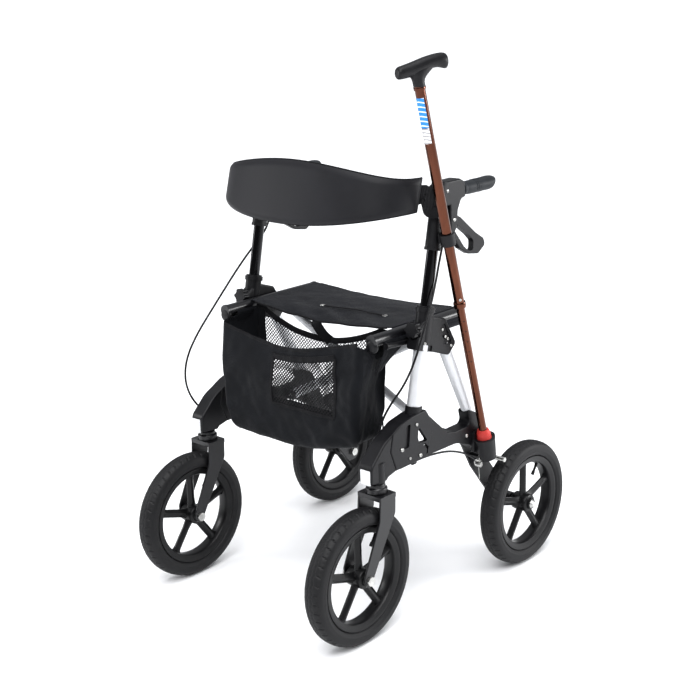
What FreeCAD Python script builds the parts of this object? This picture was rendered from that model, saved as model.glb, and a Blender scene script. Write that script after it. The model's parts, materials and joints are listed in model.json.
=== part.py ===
"""Folding rollator walker with a walking cane stored in its holder.

Millimetres, +Z up. The front of the walker faces -Y, the user stands at +Y behind it,
and +X is the user's left, where the cane is stored. The origin is on the floor,
under the middle of the walker's box. Each side frame lies in a plane of its own.
"""
import FreeCAD, Part
import math
import os
from FreeCAD import Vector, Rotation, Placement

DIMENSIONS = [
    # alias, value, what it is
    ("frame_x", 264, "plane of the left side frame"),
    ("main_lean", 12, "rearward lean of the front tube and handle post, degrees"),
    ("rear_lean", 26.8, "forward lean of the rear tube, degrees"),
    ("tube_major", 36, "front tube, size along the walker"),
    ("tube_minor", 28, "front tube, size across the walker"),
    ("tube_length", 190, "front tube"),
    ("post_major", 28, "handle post, size along the walker"),
    ("post_minor", 22, "handle post, size across the walker"),
    ("post_length", 372, "handle post"),
    ("post_wall", 1.8, "handle post wall"),
    ("slide_gap", 0.3, "clearance round the handle post"),
    ("rear_tube_radius", 13.5, "rear tube"),
    ("rear_tube_length", 250, "rear tube"),
    ("tube_wall", 2, "wall of the round tubes"),
    ("rear_track", 307, "middle of a rear wheel"),
    ("rear_axle_y", 272, "rear axle"),
    ("wheel_radius", 150, "outside of a tyre"),
    ("wheel_x_half", 25, "half width of a tyre"),
    ("rim_radius", 111, "bead seat of a rim"),
    ("rim_inner", 99, "inside of the rim's ring"),
    ("rim_half", 18, "half width of a rim"),
    ("hub_radius", 21, "wheel hub"),
    ("hub_length", 54, "wheel hub"),
    ("spoke_width", 19, "rim spoke"),
    ("spoke_depth", 16, "rim spoke"),
    ("axle_radius", 6, "rear axle and caster axle"),
    ("running_gap", 0.05, "radial clearance of an axle in its bore"),
    ("caster_x", 267, "caster stem"),
    ("caster_y", -208, "caster stem"),
    ("caster_trail", 64, "caster axle ahead of its stem"),
    ("stem_radius", 6, "caster stem"),
    ("fork_plate", 5, "caster fork cheek"),
    ("fork_gap", 55, "space between the caster fork's cheeks"),
    ("arm_width", 38, "front arm, size across the walker"),
    ("bracket_width", 32, "lower bracket, size across the walker"),
    ("web_width", 6, "gusset web of the lower bracket"),
    ("housing_width", 30, "seat bracket, size across the walker"),
    ("sleeve_major", 41, "collar round the post or tube, size along the walker"),
    ("sleeve_minor", 34, "collar round the post or tube, size across the walker"),
    ("rail_x", 225, "seat rail"),
    ("rail_z", 632, "seat rail"),
    ("rail_radius", 13, "seat rail"),
    ("rail_front", -160, "front end of a seat rail's tube"),
    ("rail_length", 288, "seat rail's tube"),
    ("brace_z", 375, "lower pivot of a cross brace"),
    ("brace_top_z", 606, "upper pivot of a cross brace"),
    ("brace_major", 24, "cross brace tube, tall side"),
    ("brace_minor", 12, "cross brace tube, flat side"),
    ("pin_radius", 4, "brace pins"),
    ("brace_gap", 0.06, "radial clearance of the brace pins"),
    ("seat_thickness", 4, "seat fabric with its hem"),
    ("back_half", 257, "backrest, half its span"),
    ("back_bow", 135, "backrest, how far its middle bows forward"),
    ("back_ends_y", -43, "backrest, its ends"),
    ("back_lean", 15.6, "backrest, rearward lean, degrees"),
    ("back_thickness", 18, "backrest band"),
    ("back_end_top", 958, "backrest, top edge at its ends"),
    ("back_end_bottom", 891, "backrest, bottom edge at its ends"),
    ("grip_radius", 15.5, "hand grip"),
    ("lever_width", 14, "brake lever, size across the walker"),
    ("cable_radius", 2.4, "brake cable's outer casing"),
    ("cane_x", 300, "plane of the cane"),
    ("cane_foot_y", 136, "centre of the cane's tip"),
    ("cane_foot_z", 322, "bottom of the cane's tip"),
    ("cane_lean", 15.14, "forward lean of the cane, degrees"),
    ("cane_upper_radius", 11, "cane, upper tube"),
    ("cane_lower_radius", 9.2, "cane, lower tube"),
    ("cane_wall", 1.6, "cane, upper tube wall"),
    ("cane_collar_at", 366, "cane, bottom of the upper tube above the tip's base"),
    ("cane_top_at", 872, "cane, top of the upper tube above the tip's base"),
    ("cup_radius", 25, "cane cup, outside"),
]

doc = FreeCAD.newDocument("rollator")
sheet = doc.addObject("Spreadsheet::Sheet", "dims")
D = {}
for row, (alias, value, words) in enumerate(DIMENSIONS, start=1):
    sheet.set("A%d" % row, words)
    sheet.set("B%d" % row, str(value))
    sheet.setAlias("B%d" % row, alias)
    D[alias] = float(value)
doc.recompute()

NODES = {}
X, Y, Z = Vector(1, 0, 0), Vector(0, 1, 0), Vector(0, 0, 1)
LEFT, RIGHT = "left", "right"


# ---------------------------------------------------------------- helpers

def bind(obj, **formulas):
    """Bind properties to formulas of sheet aliases, such as Radius="post_major / 2"."""
    for prop, formula in formulas.items():
        words = str(formula).replace("(", " ( ").replace(")", " ) ").split()
        text = " ".join("dims." + w if w in D else w for w in words)
        obj.setExpression(prop, text)
    return obj


def keep(label, obj):
    """Name a finished sub-part; its label names its file."""
    obj.Label = label
    NODES[label] = obj
    return obj


def cylinder(name, radius, height, base, direction=Z):
    obj = doc.addObject("Part::Cylinder", name)
    bind(obj, Radius=radius, Height=height)
    obj.Placement = Placement(base, Rotation(Z, direction))
    return obj


def centred_cylinder(name, radius, height, middle, direction=X):
    """A cylinder whose middle is at the given point."""
    obj = cylinder(name, radius, height, Vector(0, 0, 0), direction)
    doc.recompute()
    obj.Placement = Placement(middle - direction * (obj.Height.Value / 2), Rotation(Z, direction))
    return obj


def cone(name, radius_low, radius_high, height, base, direction=Z):
    obj = doc.addObject("Part::Cone", name)
    bind(obj, Radius1=radius_low, Radius2=radius_high, Height=height)
    obj.Placement = Placement(base, Rotation(Z, direction))
    return obj


def box(name, length, width, height, middle):
    """A box with its middle at the given point."""
    obj = doc.addObject("Part::Box", name)
    bind(obj, Length=length, Width=width, Height=height)
    doc.recompute()
    half = Vector(obj.Length.Value / 2, obj.Width.Value / 2, obj.Height.Value / 2)
    obj.Placement = Placement(middle - half, Rotation())
    return obj


def oval(name, major, minor, length, base, lean):
    """A rod of oval section, long axis along the walker, leaning rearward by lean degrees."""
    ring = doc.addObject("Part::Ellipse", name + "_section")
    bind(ring, MajorRadius="( %s ) / 2" % major, MinorRadius="( %s ) / 2" % minor)
    ring.Placement = Placement(base, Rotation(X, -lean) * Rotation(Z, 90))
    rod = doc.addObject("Part::Extrusion", name)
    rod.Base = ring
    rod.DirMode = "Custom"
    rod.Dir = ring.Placement.Rotation.multVec(Z)
    rod.Solid = True
    bind(rod, LengthFwd=length)
    return rod


def fuse(name, parts):
    obj = doc.addObject("Part::MultiFuse", name)
    obj.Shapes = parts
    obj.Refine = True
    return obj


def cut(name, base, tools):
    tool = tools[0] if len(tools) == 1 else fuse(name + "_tools", tools)
    obj = doc.addObject("Part::Cut", name)
    obj.Base = base
    obj.Tool = tool
    obj.Refine = False
    return obj


def common(name, one, other):
    obj = doc.addObject("Part::Common", name)
    obj.Base = one
    obj.Tool = other
    return obj


def mirrored(name, source):
    """The same piece on the other side of the walker."""
    obj = doc.addObject("Part::Mirroring", name)
    obj.Source = source
    obj.Base = Vector(0, 0, 0)
    obj.Normal = X
    return obj


def both_sides(label, left_obj):
    """Keep a left piece and its mirror image on the right."""
    keep(label + "_left", left_obj)
    keep(label + "_right", mirrored(label + "_right_mirror", left_obj))


def group(name, parts):
    """Separate solids that share one node."""
    obj = doc.addObject("Part::Compound", name)
    obj.Links = parts
    return obj


def rounded_outline(corners):
    """Edges of a closed outline; a corner is (u, v) or (u, v, radius)."""
    points = [Vector(c[0], c[1], 0) for c in corners]
    radii = [c[2] if len(c) > 2 else 0 for c in corners]
    count = len(points)
    starts, ends, arcs = [], [], []
    for i, corner in enumerate(points):
        to_last = (points[i - 1] - corner).normalize()
        to_next = (points[(i + 1) % count] - corner).normalize()
        if radii[i] == 0:
            starts.append(corner)
            ends.append(corner)
            arcs.append(None)
            continue
        half = to_last.getAngle(to_next) / 2
        back = radii[i] / math.tan(half)
        bisector = (to_last + to_next).normalize()
        middle = corner + bisector * (radii[i] / math.sin(half) - radii[i])
        starts.append(corner + to_last * back)
        ends.append(corner + to_next * back)
        arcs.append(Part.Arc(starts[i], middle, ends[i]))
    edges = []
    for i in range(count):
        if arcs[i]:
            edges.append(arcs[i])
        leaving, arriving = ends[i], starts[(i + 1) % count]
        if (arriving - leaving).Length > 1e-6:
            edges.append(Part.LineSegment(leaving, arriving))
    return edges


def new_body(name, role, edges):
    """A PartDesign body with one sketch on one of its origin planes."""
    body = doc.addObject("PartDesign::Body", name)
    sketch = body.newObject("Sketcher::SketchObject", name + "_sketch")
    plane = [f for f in body.Origin.OriginFeatures if f.Role == role][0]
    sketch.AttachmentSupport = [(plane, "")]
    sketch.MapMode = "FlatFace"
    sketch.addGeometry(edges, False)
    return body, sketch


def plate(name, corners, x_middle, width, rounding=0.0):
    """A PartDesign plate: a side-view outline (y, z) padded evenly about x_middle."""
    body, sketch = new_body(name, "YZ_Plane", rounded_outline(corners))
    pad = body.newObject("PartDesign::Pad", name + "_pad")
    pad.Profile = sketch
    pad.SideType = "Symmetric"
    bind(pad, Length=width)
    doc.recompute()
    if rounding > 0:
        sides = []
        for i, face in enumerate(pad.Shape.Faces, start=1):
            if abs(face.normalAt(0, 0).x) > 0.99:
                sides.append("Face%d" % i)
        fillet = body.newObject("PartDesign::Fillet", name + "_rounding")
        fillet.Base = (pad, sides)
        fillet.Radius = rounding
        doc.recompute()
    body.Placement = Placement(Vector(x_middle, 0, 0), Rotation())
    return body


def turned(name, corners, base, direction):
    """A PartDesign revolution: an outline (radius, height) turned about its own axis."""
    body, sketch = new_body(name, "XZ_Plane", rounded_outline(corners))
    spin = body.newObject("PartDesign::Revolution", name + "_turn")
    spin.Profile = sketch
    spin.ReferenceAxis = (sketch, ["V_Axis"])
    spin.Angle = 360
    body.Placement = Placement(base, Rotation(Z, direction))
    return body


def pipe(name, route, radius):
    """A round tube along straight runs joined by tangent arcs as large as the runs allow."""
    points = [Vector(*p) for p in route]
    edges = []
    here = points[0]
    radii = []
    for last, corner, following in zip(points, points[1:], points[2:]):
        into = (corner - last).normalize()
        out = (following - corner).normalize()
        turn = into.getAngle(out)
        reach = 0.45 * min((corner - last).Length, (following - corner).Length)
        bend = reach / math.tan(turn / 2)
        start, end = corner - into * reach, corner + out * reach
        inward = (out - into).normalize()
        middle = corner + inward * (bend / math.cos(turn / 2) - bend)
        edges.append(Part.LineSegment(here, start).toShape())
        edges.append(Part.Arc(start, middle, end).toShape())
        radii.append(bend)
        here = end
    edges.append(Part.LineSegment(here, points[-1]).toShape())
    wire = Part.Wire(edges)
    ring = Part.Wire(Part.makeCircle(radius, points[0], points[1] - points[0]))
    solid = wire.makePipeShell([ring], True, False)
    expected = math.pi * radius ** 2 * wire.Length
    print(name, "length %.0f" % wire.Length, "volume / expected %.4f" % (solid.Volume / expected),
          "radii", " ".join("%.0f" % r for r in radii))
    obj = doc.addObject("Part::Feature", name)
    obj.Shape = solid
    obj.Placement = Placement()
    return obj


# ------------------------------------------------- directions of the frame

LEAN = math.radians(D["main_lean"])
MAIN_UP = Vector(0, math.sin(LEAN), math.cos(LEAN))
REAR = math.radians(D["rear_lean"])
REAR_UP = Vector(0, -math.sin(REAR), math.cos(REAR))
CANE = math.radians(D["cane_lean"])
CANE_UP = Vector(0, -math.sin(CANE), math.cos(CANE))


def main_axis(z):
    """Point of the front tube's axis, which the handle post shares, at height z."""
    return Vector(D["frame_x"], -34 + (z - 680) * math.tan(LEAN), z)


def rear_axis(z):
    """Point of the rear tube's axis at height z."""
    return Vector(D["frame_x"], 38 + (562 - z) * math.tan(REAR), z)


def cane_axis(along):
    """Point of the cane's axis, measured up from the base of its tip."""
    foot = Vector(D["cane_x"], D["cane_foot_y"], D["cane_foot_z"])
    return foot + CANE_UP * along


# ------------------------------------------------------------ side frames

def front_tube():
    base = main_axis(456)
    outside = oval("front_tube_outside", "tube_major", "tube_minor", "tube_length", base,
                   D["main_lean"])
    inside = oval("front_tube_inside", "post_major + 2 * slide_gap", "post_minor + 2 * slide_gap",
                  "tube_length + 20", base - MAIN_UP * 10, D["main_lean"])
    return cut("front_tube", outside, [inside])


def rear_tube():
    base = rear_axis(372)
    outside = cylinder("rear_tube_outside", "rear_tube_radius", "rear_tube_length", base, REAR_UP)
    inside = cylinder("rear_tube_inside", "rear_tube_radius - tube_wall", "rear_tube_length + 20",
                      base - REAR_UP * 10, REAR_UP)
    return cut("rear_tube", outside, [inside])


def seat_bracket():
    """Moulded joint of front tube, rear tube and seat rail, with its cradle and bag bar."""
    wedge = plate("bracket_wedge", [(-72, 648, 8), (-84, 603, 7), (-25, 586, 20), (28, 567, 9),
                                    (54, 590, 9), (18, 652, 8), (-12, 662, 5), (-40, 668)],
                  D["frame_x"], "housing_width", 4)
    low = main_axis(600)
    collar = oval("bracket_collar", "sleeve_major", "sleeve_minor", "90", low, D["main_lean"])
    lip = oval("bracket_lip", "sleeve_major + 5", "sleeve_minor + 5", "9", main_axis(676),
               D["main_lean"])
    knob_boss = cylinder("bracket_knob_boss", "13", "26", main_axis(641), Vector(0, -1, 0.1))
    saddle = box("bracket_saddle", "43", "40", "26",
                 Vector(D["rail_x"] + 6, -40, D["rail_z"] - 14))
    bar = cylinder("bracket_bag_bar", "6", "92", Vector(241, -44, 611), Vector(0, -1, 0.08))
    rim = cylinder("bracket_bag_bar_end", "7.6", "4", Vector(241, -135.5, 618.3),
                   Vector(0, -1, 0.08))
    solid = fuse("bracket_solid", [wedge, collar, lip, knob_boss, saddle, bar, rim])
    tube_hole = oval("bracket_tube_hole", "tube_major", "tube_minor", "100", main_axis(544),
                     D["main_lean"])
    post_hole = oval("bracket_post_hole", "post_major + 2 * slide_gap",
                     "post_minor + 2 * slide_gap", "130", main_axis(636), D["main_lean"])
    rear_hole = cylinder("bracket_rear_hole", "rear_tube_radius", "100",
                         rear_axis(372) + REAR_UP * (D["rear_tube_length"] - 100), REAR_UP)
    rail_groove = cylinder("bracket_rail_groove", "rail_radius + 0.4", "80",
                           Vector(D["rail_x"], -80, D["rail_z"]), Y)
    rail_mouth = box("bracket_rail_mouth", "2 * rail_radius + 0.8", "80", "30",
                     Vector(D["rail_x"], -40, D["rail_z"] + 15))
    pocket = plate("bracket_pocket", [(0, 640, 4), (8, 596, 4), (38, 594, 4), (14, 642, 4)],
                   D["frame_x"] + 15, "5")
    pocket_low = plate("bracket_pocket_low", [(-66, 612, 3), (-30, 602, 3), (-34, 590, 3),
                                              (-68, 600, 3)], D["frame_x"] + 15, "5")
    knob_screw = cylinder("bracket_knob_screw", "4", "60", main_axis(641) + Vector(0, -15, 1.5),
                          Vector(0, -1, 0.1))
    knob_room = cylinder("bracket_knob_room", "20.5", "60", main_axis(641) + Vector(0, -26.4, 2.64),
                         Vector(0, -1, 0.1))
    return cut("seat_bracket", solid, [tube_hole, post_hole, rear_hole, rail_groove, rail_mouth,
                                       pocket, pocket_low, knob_screw, knob_room])


def height_knob():
    """Lobed screw knob that clamps the handle post at its height."""
    away = Vector(0, -1, 0.1)
    face = main_axis(641) + away * 26.6
    away.normalize()
    upward = away.cross(X)
    disc = cylinder("knob_disc", "15", "15", face, away)
    lobes = []
    for turn in range(6):
        angle = math.radians(60 * turn)
        side = X * math.cos(angle) + upward * math.sin(angle)
        lobes.append(cylinder("knob_lobe_%d" % turn, "4.5", "15", face + side * 14, away))
    screw = cylinder("knob_screw", "4", "8", face - away * 7.8, away)
    return fuse("height_knob", [disc, screw] + lobes)


def front_arm():
    """Curved moulded arm from the lower bracket to the caster's head."""
    arm = plate("arm_shell", [(-170, 441), (-197, 428, 90), (-240, 386, 22), (-241, 347, 9),
                              (-192, 345, 4), (-186, 351, 6), (-160, 357), (-178, 404)],
                D["frame_x"], "arm_width", 4)
    head = cylinder("arm_head", "19", "44", Vector(D["caster_x"], D["caster_y"], 345))
    bore = cylinder("arm_bore", "stem_radius + running_gap", "52",
                    Vector(D["caster_x"], D["caster_y"], 340))
    return cut("front_arm", fuse("arm_solid", [arm, head]), [bore])


def brace_ears(side, brace_y):
    """Two ears on the frame's inner face that hold a cross brace's pin."""
    flip = 1 if side == LEFT else -1
    ears = []
    for n, offset in enumerate((-9.6, 9.6)):
        at = Vector(flip * D["rail_x"], brace_y + offset, D["brace_z"])
        ears.append(centred_cylinder("ear_%s_%d" % (side, n), "12", "6", at, Y))
        ears.append(box("ear_root_%s_%d" % (side, n), "28", "6", "24",
                        at + Vector(flip * 14, 0, 0)))
    return ears


def lower_bracket(side):
    """Moulded hub below the front tube, with its gusset and the beam to the rear tube."""
    hub = plate("hub_" + side, [(-170, 441), (-142, 456, 60), (-99, 464, 6), (-70, 466),
                                (-58, 465, 4), (-33, 428), (-52, 372, 12), (-60, 357, 10),
                                (-160, 357), (-178, 404)],
                D["frame_x"], "arm_width", 3)
    beam = plate("beam_" + side, [(-80, 385), (-56, 397), (-33, 424, 6), (14, 393, 25),
                                  (48, 385, 30), (104, 386, 12), (94, 424, 5), (139, 403, 6),
                                  (152, 372, 20), (146, 336, 12), (122, 320, 12), (100, 338, 30),
                                  (52, 356, 60), (-60, 358)],
                 D["frame_x"], "bracket_width", 3)
    web = plate("web_" + side, [(-60, 466), (-50, 452, 5), (16, 393, 10), (16, 366, 5),
                                (-78, 366), (-86, 400)],
                D["frame_x"] + 13, "web_width")
    collar = oval("hub_collar_" + side, "sleeve_major", "sleeve_minor", "40", main_axis(437),
                  D["main_lean"])
    lug = centred_cylinder("hub_lug_" + side, "7", "9", Vector(D["frame_x"] + 4, -88, 353), Y)
    gap = plate("hub_gap_" + side, [(-85, 436, 3), (-88, 411, 3), (-84, 398, 3), (-55, 395, 3)],
                D["frame_x"] + 10, "40")
    slot = plate("hub_slot_" + side, [(-64, 392, 2), (-50, 378, 4), (-52, 364, 2), (-60, 364, 2),
                                      (-58, 378, 4), (-70, 389, 2)], D["frame_x"] + 10, "40")
    hollow = plate("hub_hollow_" + side, [(-74, 452, 6), (-58, 452, 6), (-6, 398, 8),
                                          (-10, 368, 6), (-46, 366, 6), (-92, 398, 6)],
                   D["frame_x"] - 10, "40")
    recess = plate("hub_recess_" + side, [(-128, 446, 4), (-112, 450, 4), (-118, 398, 4),
                                          (-134, 398, 4)], D["frame_x"] + 18, "6")
    tube_hole = oval("hub_tube_hole_" + side, "tube_major", "tube_minor", "60", main_axis(456),
                     D["main_lean"])
    rear_hole = cylinder("hub_rear_hole_" + side, "rear_tube_radius", "90", rear_axis(372),
                         REAR_UP)
    cable_hole = cylinder("hub_cable_hole_" + side, "cable_radius", "60",
                          Vector(D["frame_x"] + 4, -118, 352), Vector(0, 1, 0))
    shell = cut("hub_shell_" + side, fuse("hub_solid_" + side, [hub, beam, web, collar, lug]),
                [hollow, gap, slot, recess, tube_hole, rear_hole, cable_hole])
    return shell


def finished_bracket(side, brace_y):
    """The lower bracket with its ears and pin holes."""
    shell = lower_bracket(side)
    if side == RIGHT:
        shell = mirrored("hub_mirror", shell)
    flip = 1 if side == LEFT else -1
    pin = Vector(flip * D["rail_x"], brace_y, D["brace_z"])
    hole = centred_cylinder("ear_hole_" + side, "pin_radius", "60", pin, Y)
    return cut("lower_bracket_" + side,
               fuse("hub_with_ears_" + side, [shell] + brace_ears(side, brace_y)), [hole])


def axle_plate():
    """Black steel plate from the end of the beam down to the rear axle."""
    sheet_plate = plate("axle_plate_sheet", [(100, 378, 8), (146, 378, 8), (168, 318, 40),
                                             (296, 160, 20), (290, 128, 18), (256, 126, 18),
                                             (150, 262, 60), (112, 330, 20)],
                        D["frame_x"] - 20, "7", 1.5)
    boss = centred_cylinder("axle_boss", "15", "30",
                            Vector(D["frame_x"] - 2, D["rear_axle_y"], D["wheel_radius"]))
    pivot = centred_cylinder("brake_pivot", "7", "22", Vector(258.5, 150, 292))
    pivot_pin = centred_cylinder("brake_pin", "4", "14", Vector(276.5, 150, 292))
    bore = centred_cylinder("axle_boss_bore", "axle_radius", "60",
                            Vector(D["frame_x"], D["rear_axle_y"], D["wheel_radius"]))
    return cut("axle_plate", fuse("axle_plate_solid", [sheet_plate, boss, pivot, pivot_pin]),
               [bore])


def rear_axle():
    """Axle bolt with its inner nut and its domed outer head."""
    at = Vector(0, D["rear_axle_y"], D["wheel_radius"])
    shaft = cylinder("axle_shaft", "axle_radius", "103", at + X * 232.6, X)
    nut = cylinder("axle_nut", "10", "8", at + X * 232.3, X)
    dome = cone("axle_dome", "11", "7", "6", at + X * 335, X)
    return fuse("rear_axle", [shaft, nut, dome])


def cane_cup():
    """Cup on the lower bracket that the cane's tip stands in, cut low on its outer side."""
    outside = cone("cup_outside", "cup_radius - 6", "cup_radius", "56", cane_axis(-22), CANE_UP)
    room = cylinder("cup_room", "18.6", "80", cane_axis(-1), CANE_UP)
    tongue = box("cup_tongue", "8", "46", "46", Vector(D["frame_x"] + 20, 128, 344))
    beam_side = box("cup_beam_side", "60", "120", "120",
                    Vector(D["frame_x"] + D["bracket_width"] / 2 - 30, 128, 344))
    mouth = box("cup_mouth", "80", "80", "40", Vector(0, 0, 0))
    mouth.Placement = Placement(cane_axis(38), Rotation(Vector(0.5, -0.5, 0.2), 0)) * Placement(
        Vector(-12, -64, -10), Rotation(X, 12) * Rotation(Y, 16))
    return cut("cane_cup", fuse("cup_solid", [outside, tongue]), [room, mouth, beam_side])


# ----------------------------------------------- handles, levers and brakes

def handle_post():
    base = main_axis(905) - MAIN_UP * D["post_length"]
    outside = oval("post_outside", "post_major", "post_minor", "post_length", base, D["main_lean"])
    inside = oval("post_inside", "post_major - 2 * post_wall", "post_minor - 2 * post_wall",
                  "post_length + 20", base - MAIN_UP * 10, D["main_lean"])
    return cut("handle_post", outside, [inside])


def post_sleeve():
    """Moulded sleeve on the post that carries the backrest's strap."""
    low = oval("sleeve_low", "post_major + 10", "post_minor + 9", "74", main_axis(808),
               D["main_lean"])
    bulge = oval("sleeve_bulge", "post_major + 17", "post_minor + 13", "14", main_axis(876),
                 D["main_lean"])
    foot = oval("sleeve_foot", "post_major + 13", "post_minor + 11", "6", main_axis(804),
                D["main_lean"])
    hole = oval("sleeve_hole", "post_major", "post_minor", "140", main_axis(780), D["main_lean"])
    return cut("post_sleeve", fuse("sleeve_solid", [low, bulge, foot]), [hole])


def handle_head():
    """Moulded head on the post: it holds the grip's stub and the brake lever's pivot."""
    top = plate("head_top", [(4, 894), (-2, 938, 10), (30, 946, 20), (70, 947, 8), (88, 938),
                             (88, 906), (74, 903, 12), (62, 880, 30), (60, 846, 8), (44, 826, 6),
                             (36, 832, 4), (35, 894)],
                D["frame_x"], "32", 4)
    cap = oval("head_cap", "post_major + 14", "post_minor + 12", "52", main_axis(894),
               D["main_lean"])
    stub = cylinder("head_stub", "11", "60", Vector(D["frame_x"], 84, 921), Y)
    hole = oval("head_hole", "post_major", "post_minor", "60", main_axis(847), D["main_lean"])
    lever_slot = plate("head_lever_slot", [(24, 800), (24, 878, 6), (72, 878, 6), (110, 870),
                                           (110, 800)],
                       D["frame_x"], "lever_width + 1")
    pin_hole = centred_cylinder("head_pin_hole", "3", "60", Vector(D["frame_x"], 50, 862))
    return cut("handle_head", fuse("head_solid", [top, cap, stub]), [hole, lever_slot, pin_hole])


def grip():
    """Moulded hand grip with a slanted palm end."""
    skin = turned("grip_skin", [(11, 0), (14.5, 0, 2), (13.8, 12, 8), (15.5, 55, 60),
                                (17, 92, 30), (14, 116, 12), (0, 119), (0, 62), (11, 62)],
                  Vector(D["frame_x"], 89, 921), Vector(0, 1, 0))
    return skin


def lever_pin():
    return centred_cylinder("lever_pin", "3", "34", Vector(D["frame_x"], 50, 862))


def brake_lever():
    """Closed loop that the fingers squeeze towards the grip."""
    loop = plate("lever_loop", [(42, 868, 5), (60, 873, 7), (84, 861, 10), (137, 820, 60),
                                (166, 803, 14), (172, 788, 10), (146, 771, 10), (108, 777, 30),
                                (78, 794, 14), (44, 838, 8)],
                 D["frame_x"], "lever_width", 3)
    window = plate("lever_window", [(62, 852, 4), (110, 819, 20), (127, 804, 10), (126, 783, 6),
                                    (110, 783, 14), (92, 797, 14), (60, 836, 6)],
                   D["frame_x"], "60")
    bore = centred_cylinder("lever_bore", "3 + running_gap", "60",
                            Vector(D["frame_x"], 50, 862))
    return cut("brake_lever", loop, [window, bore])


def brake_shoe():
    """Swinging brake arm with a bar that presses on the rear tyre."""
    arm = plate("shoe_arm", [(128, 276, 6), (124, 290, 6), (150, 302, 10), (182, 296, 8),
                             (186, 283, 6), (150, 282, 6)], 276, "6")
    bar = centred_cylinder("shoe_bar", "5.5", "44", Vector(299, 178.5, 287.5))
    nip = centred_cylinder("shoe_nip", "6", "14", Vector(283, 129, 283))
    bore = centred_cylinder("shoe_bore", "4 + running_gap", "60", Vector(276, 150, 292))
    return cut("brake_shoe", fuse("shoe_solid", [arm, bar, nip]), [bore])


# ----------------------------------------------------------------- wheels

def wheel(label, centre):
    """A tyre and a five-spoked rim on one axle line along X."""
    half = D["wheel_x_half"]
    bead = D["rim_radius"]
    outer = D["wheel_radius"]
    tyre = turned(label + "_tyre_body", [(bead, -14.5), (bead + 5, -15), (bead + 17, -half, 9),
                                         (outer - 9, -half + 4, 8), (outer, -7, 12),
                                         (outer, 7, 12), (outer - 9, half - 4, 8),
                                         (bead + 17, half, 9), (bead + 5, 15), (bead, 14.5)],
                  centre, X)
    keep(label + "_tyre", tyre)
    rim_half = D["rim_half"]
    ring = turned(label + "_ring", [(D["rim_inner"], -13, 3), (bead + 3, -rim_half, 1.2),
                                    (bead + 3, -15.2), (bead, -14.7), (bead, 14.7),
                                    (bead + 3, 15.2), (bead + 3, rim_half, 1.2),
                                    (D["rim_inner"], 13, 3)], centre, X)
    hub = centred_cylinder(label + "_hub", "hub_radius", "hub_length", centre)
    spokes = []
    for n in range(5):
        spoke = box("%s_spoke_%d" % (label, n), "spoke_depth", "spoke_width",
                    "rim_inner - hub_radius + 12", Vector(0, 0, 0))
        middle = (D["rim_inner"] + D["hub_radius"]) / 2 - 1
        swing = Rotation(X, 72 * n)
        shift = Vector(-D["spoke_depth"] / 2, -D["spoke_width"] / 2,
                       middle - (D["rim_inner"] - D["hub_radius"] + 12) / 2)
        spoke.Placement = Placement(centre + swing.multVec(shift), swing)
        spokes.append(spoke)
    bore = centred_cylinder(label + "_bore", "axle_radius + running_gap", "100", centre)
    keep(label + "_rim", cut(label + "_rim_cut", fuse(label + "_rim_solid", [ring, hub] + spokes),
                             [bore]))


def caster(side):
    """Fork, stem bolt and axle bolt of a front caster."""
    flip = 1 if side == LEFT else -1
    x_stem = flip * D["caster_x"]
    axle_y = D["caster_y"] - D["caster_trail"]
    axle_z = D["wheel_radius"]
    cheeks = []
    for n, hand in enumerate((-1, 1)):
        x_cheek = x_stem + hand * (D["fork_gap"] + D["fork_plate"]) / 2
        outline = [(-232, 322, 4), (-184, 322, 4), (-186, 276, 20), (axle_y + 14, axle_z + 4, 8),
                   (axle_y + 12, axle_z - 14, 12), (axle_y - 13, axle_z - 14, 12),
                   (axle_y - 13, axle_z + 16, 20), (-236, 270, 30)]
        cheeks.append(plate("fork_cheek_%s_%d" % (side, n), outline, x_cheek, "fork_plate", 1.5))
    crown = box("fork_crown_" + side, "fork_gap + 2 * fork_plate", "48", "10",
                Vector(x_stem, -208, 317))
    bearing = turned("fork_bearing_" + side, [(0, 322), (23, 322, 2), (23, 333, 3), (19, 336, 2),
                                              (18, 343, 3), (0, 344.5)],
                     Vector(x_stem, D["caster_y"], 0), Z)
    hole = cylinder("fork_stem_hole_" + side, "stem_radius", "60",
                    Vector(x_stem, D["caster_y"], 305))
    axle_hole = centred_cylinder("fork_axle_hole_" + side, "axle_radius", "100",
                                 Vector(x_stem, axle_y, axle_z))
    keep("caster_fork_" + side, cut("fork_cut_" + side, fuse("fork_solid_" + side,
                                    cheeks + [crown, bearing]), [hole, axle_hole]))
    stem = cylinder("stem_" + side, "stem_radius", "64", Vector(x_stem, D["caster_y"], 318))
    stem_nut = cylinder("stem_nut_" + side, "10", "6.5", Vector(x_stem, D["caster_y"], 305.4))
    shaft = centred_cylinder("caster_axle_" + side, "axle_radius", "72",
                             Vector(x_stem, axle_y, axle_z))
    head = centred_cylinder("caster_axle_head_" + side, "10", "5",
                            Vector(x_stem + 35.1, axle_y, axle_z))
    nut = centred_cylinder("caster_axle_nut_" + side, "10", "5",
                           Vector(x_stem - 35.1, axle_y, axle_z))
    stem_low = cylinder("stem_low_" + side, "stem_radius", "8",
                        Vector(x_stem, D["caster_y"], 311))
    keep("caster_bolts_" + side, group("caster_bolts_" + side, [
        fuse("stem_bolt_" + side, [stem, stem_low, stem_nut]),
        fuse("axle_bolt_" + side, [shaft, head, nut])]))


# ------------------------------------------------------- fold and seat

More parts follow.
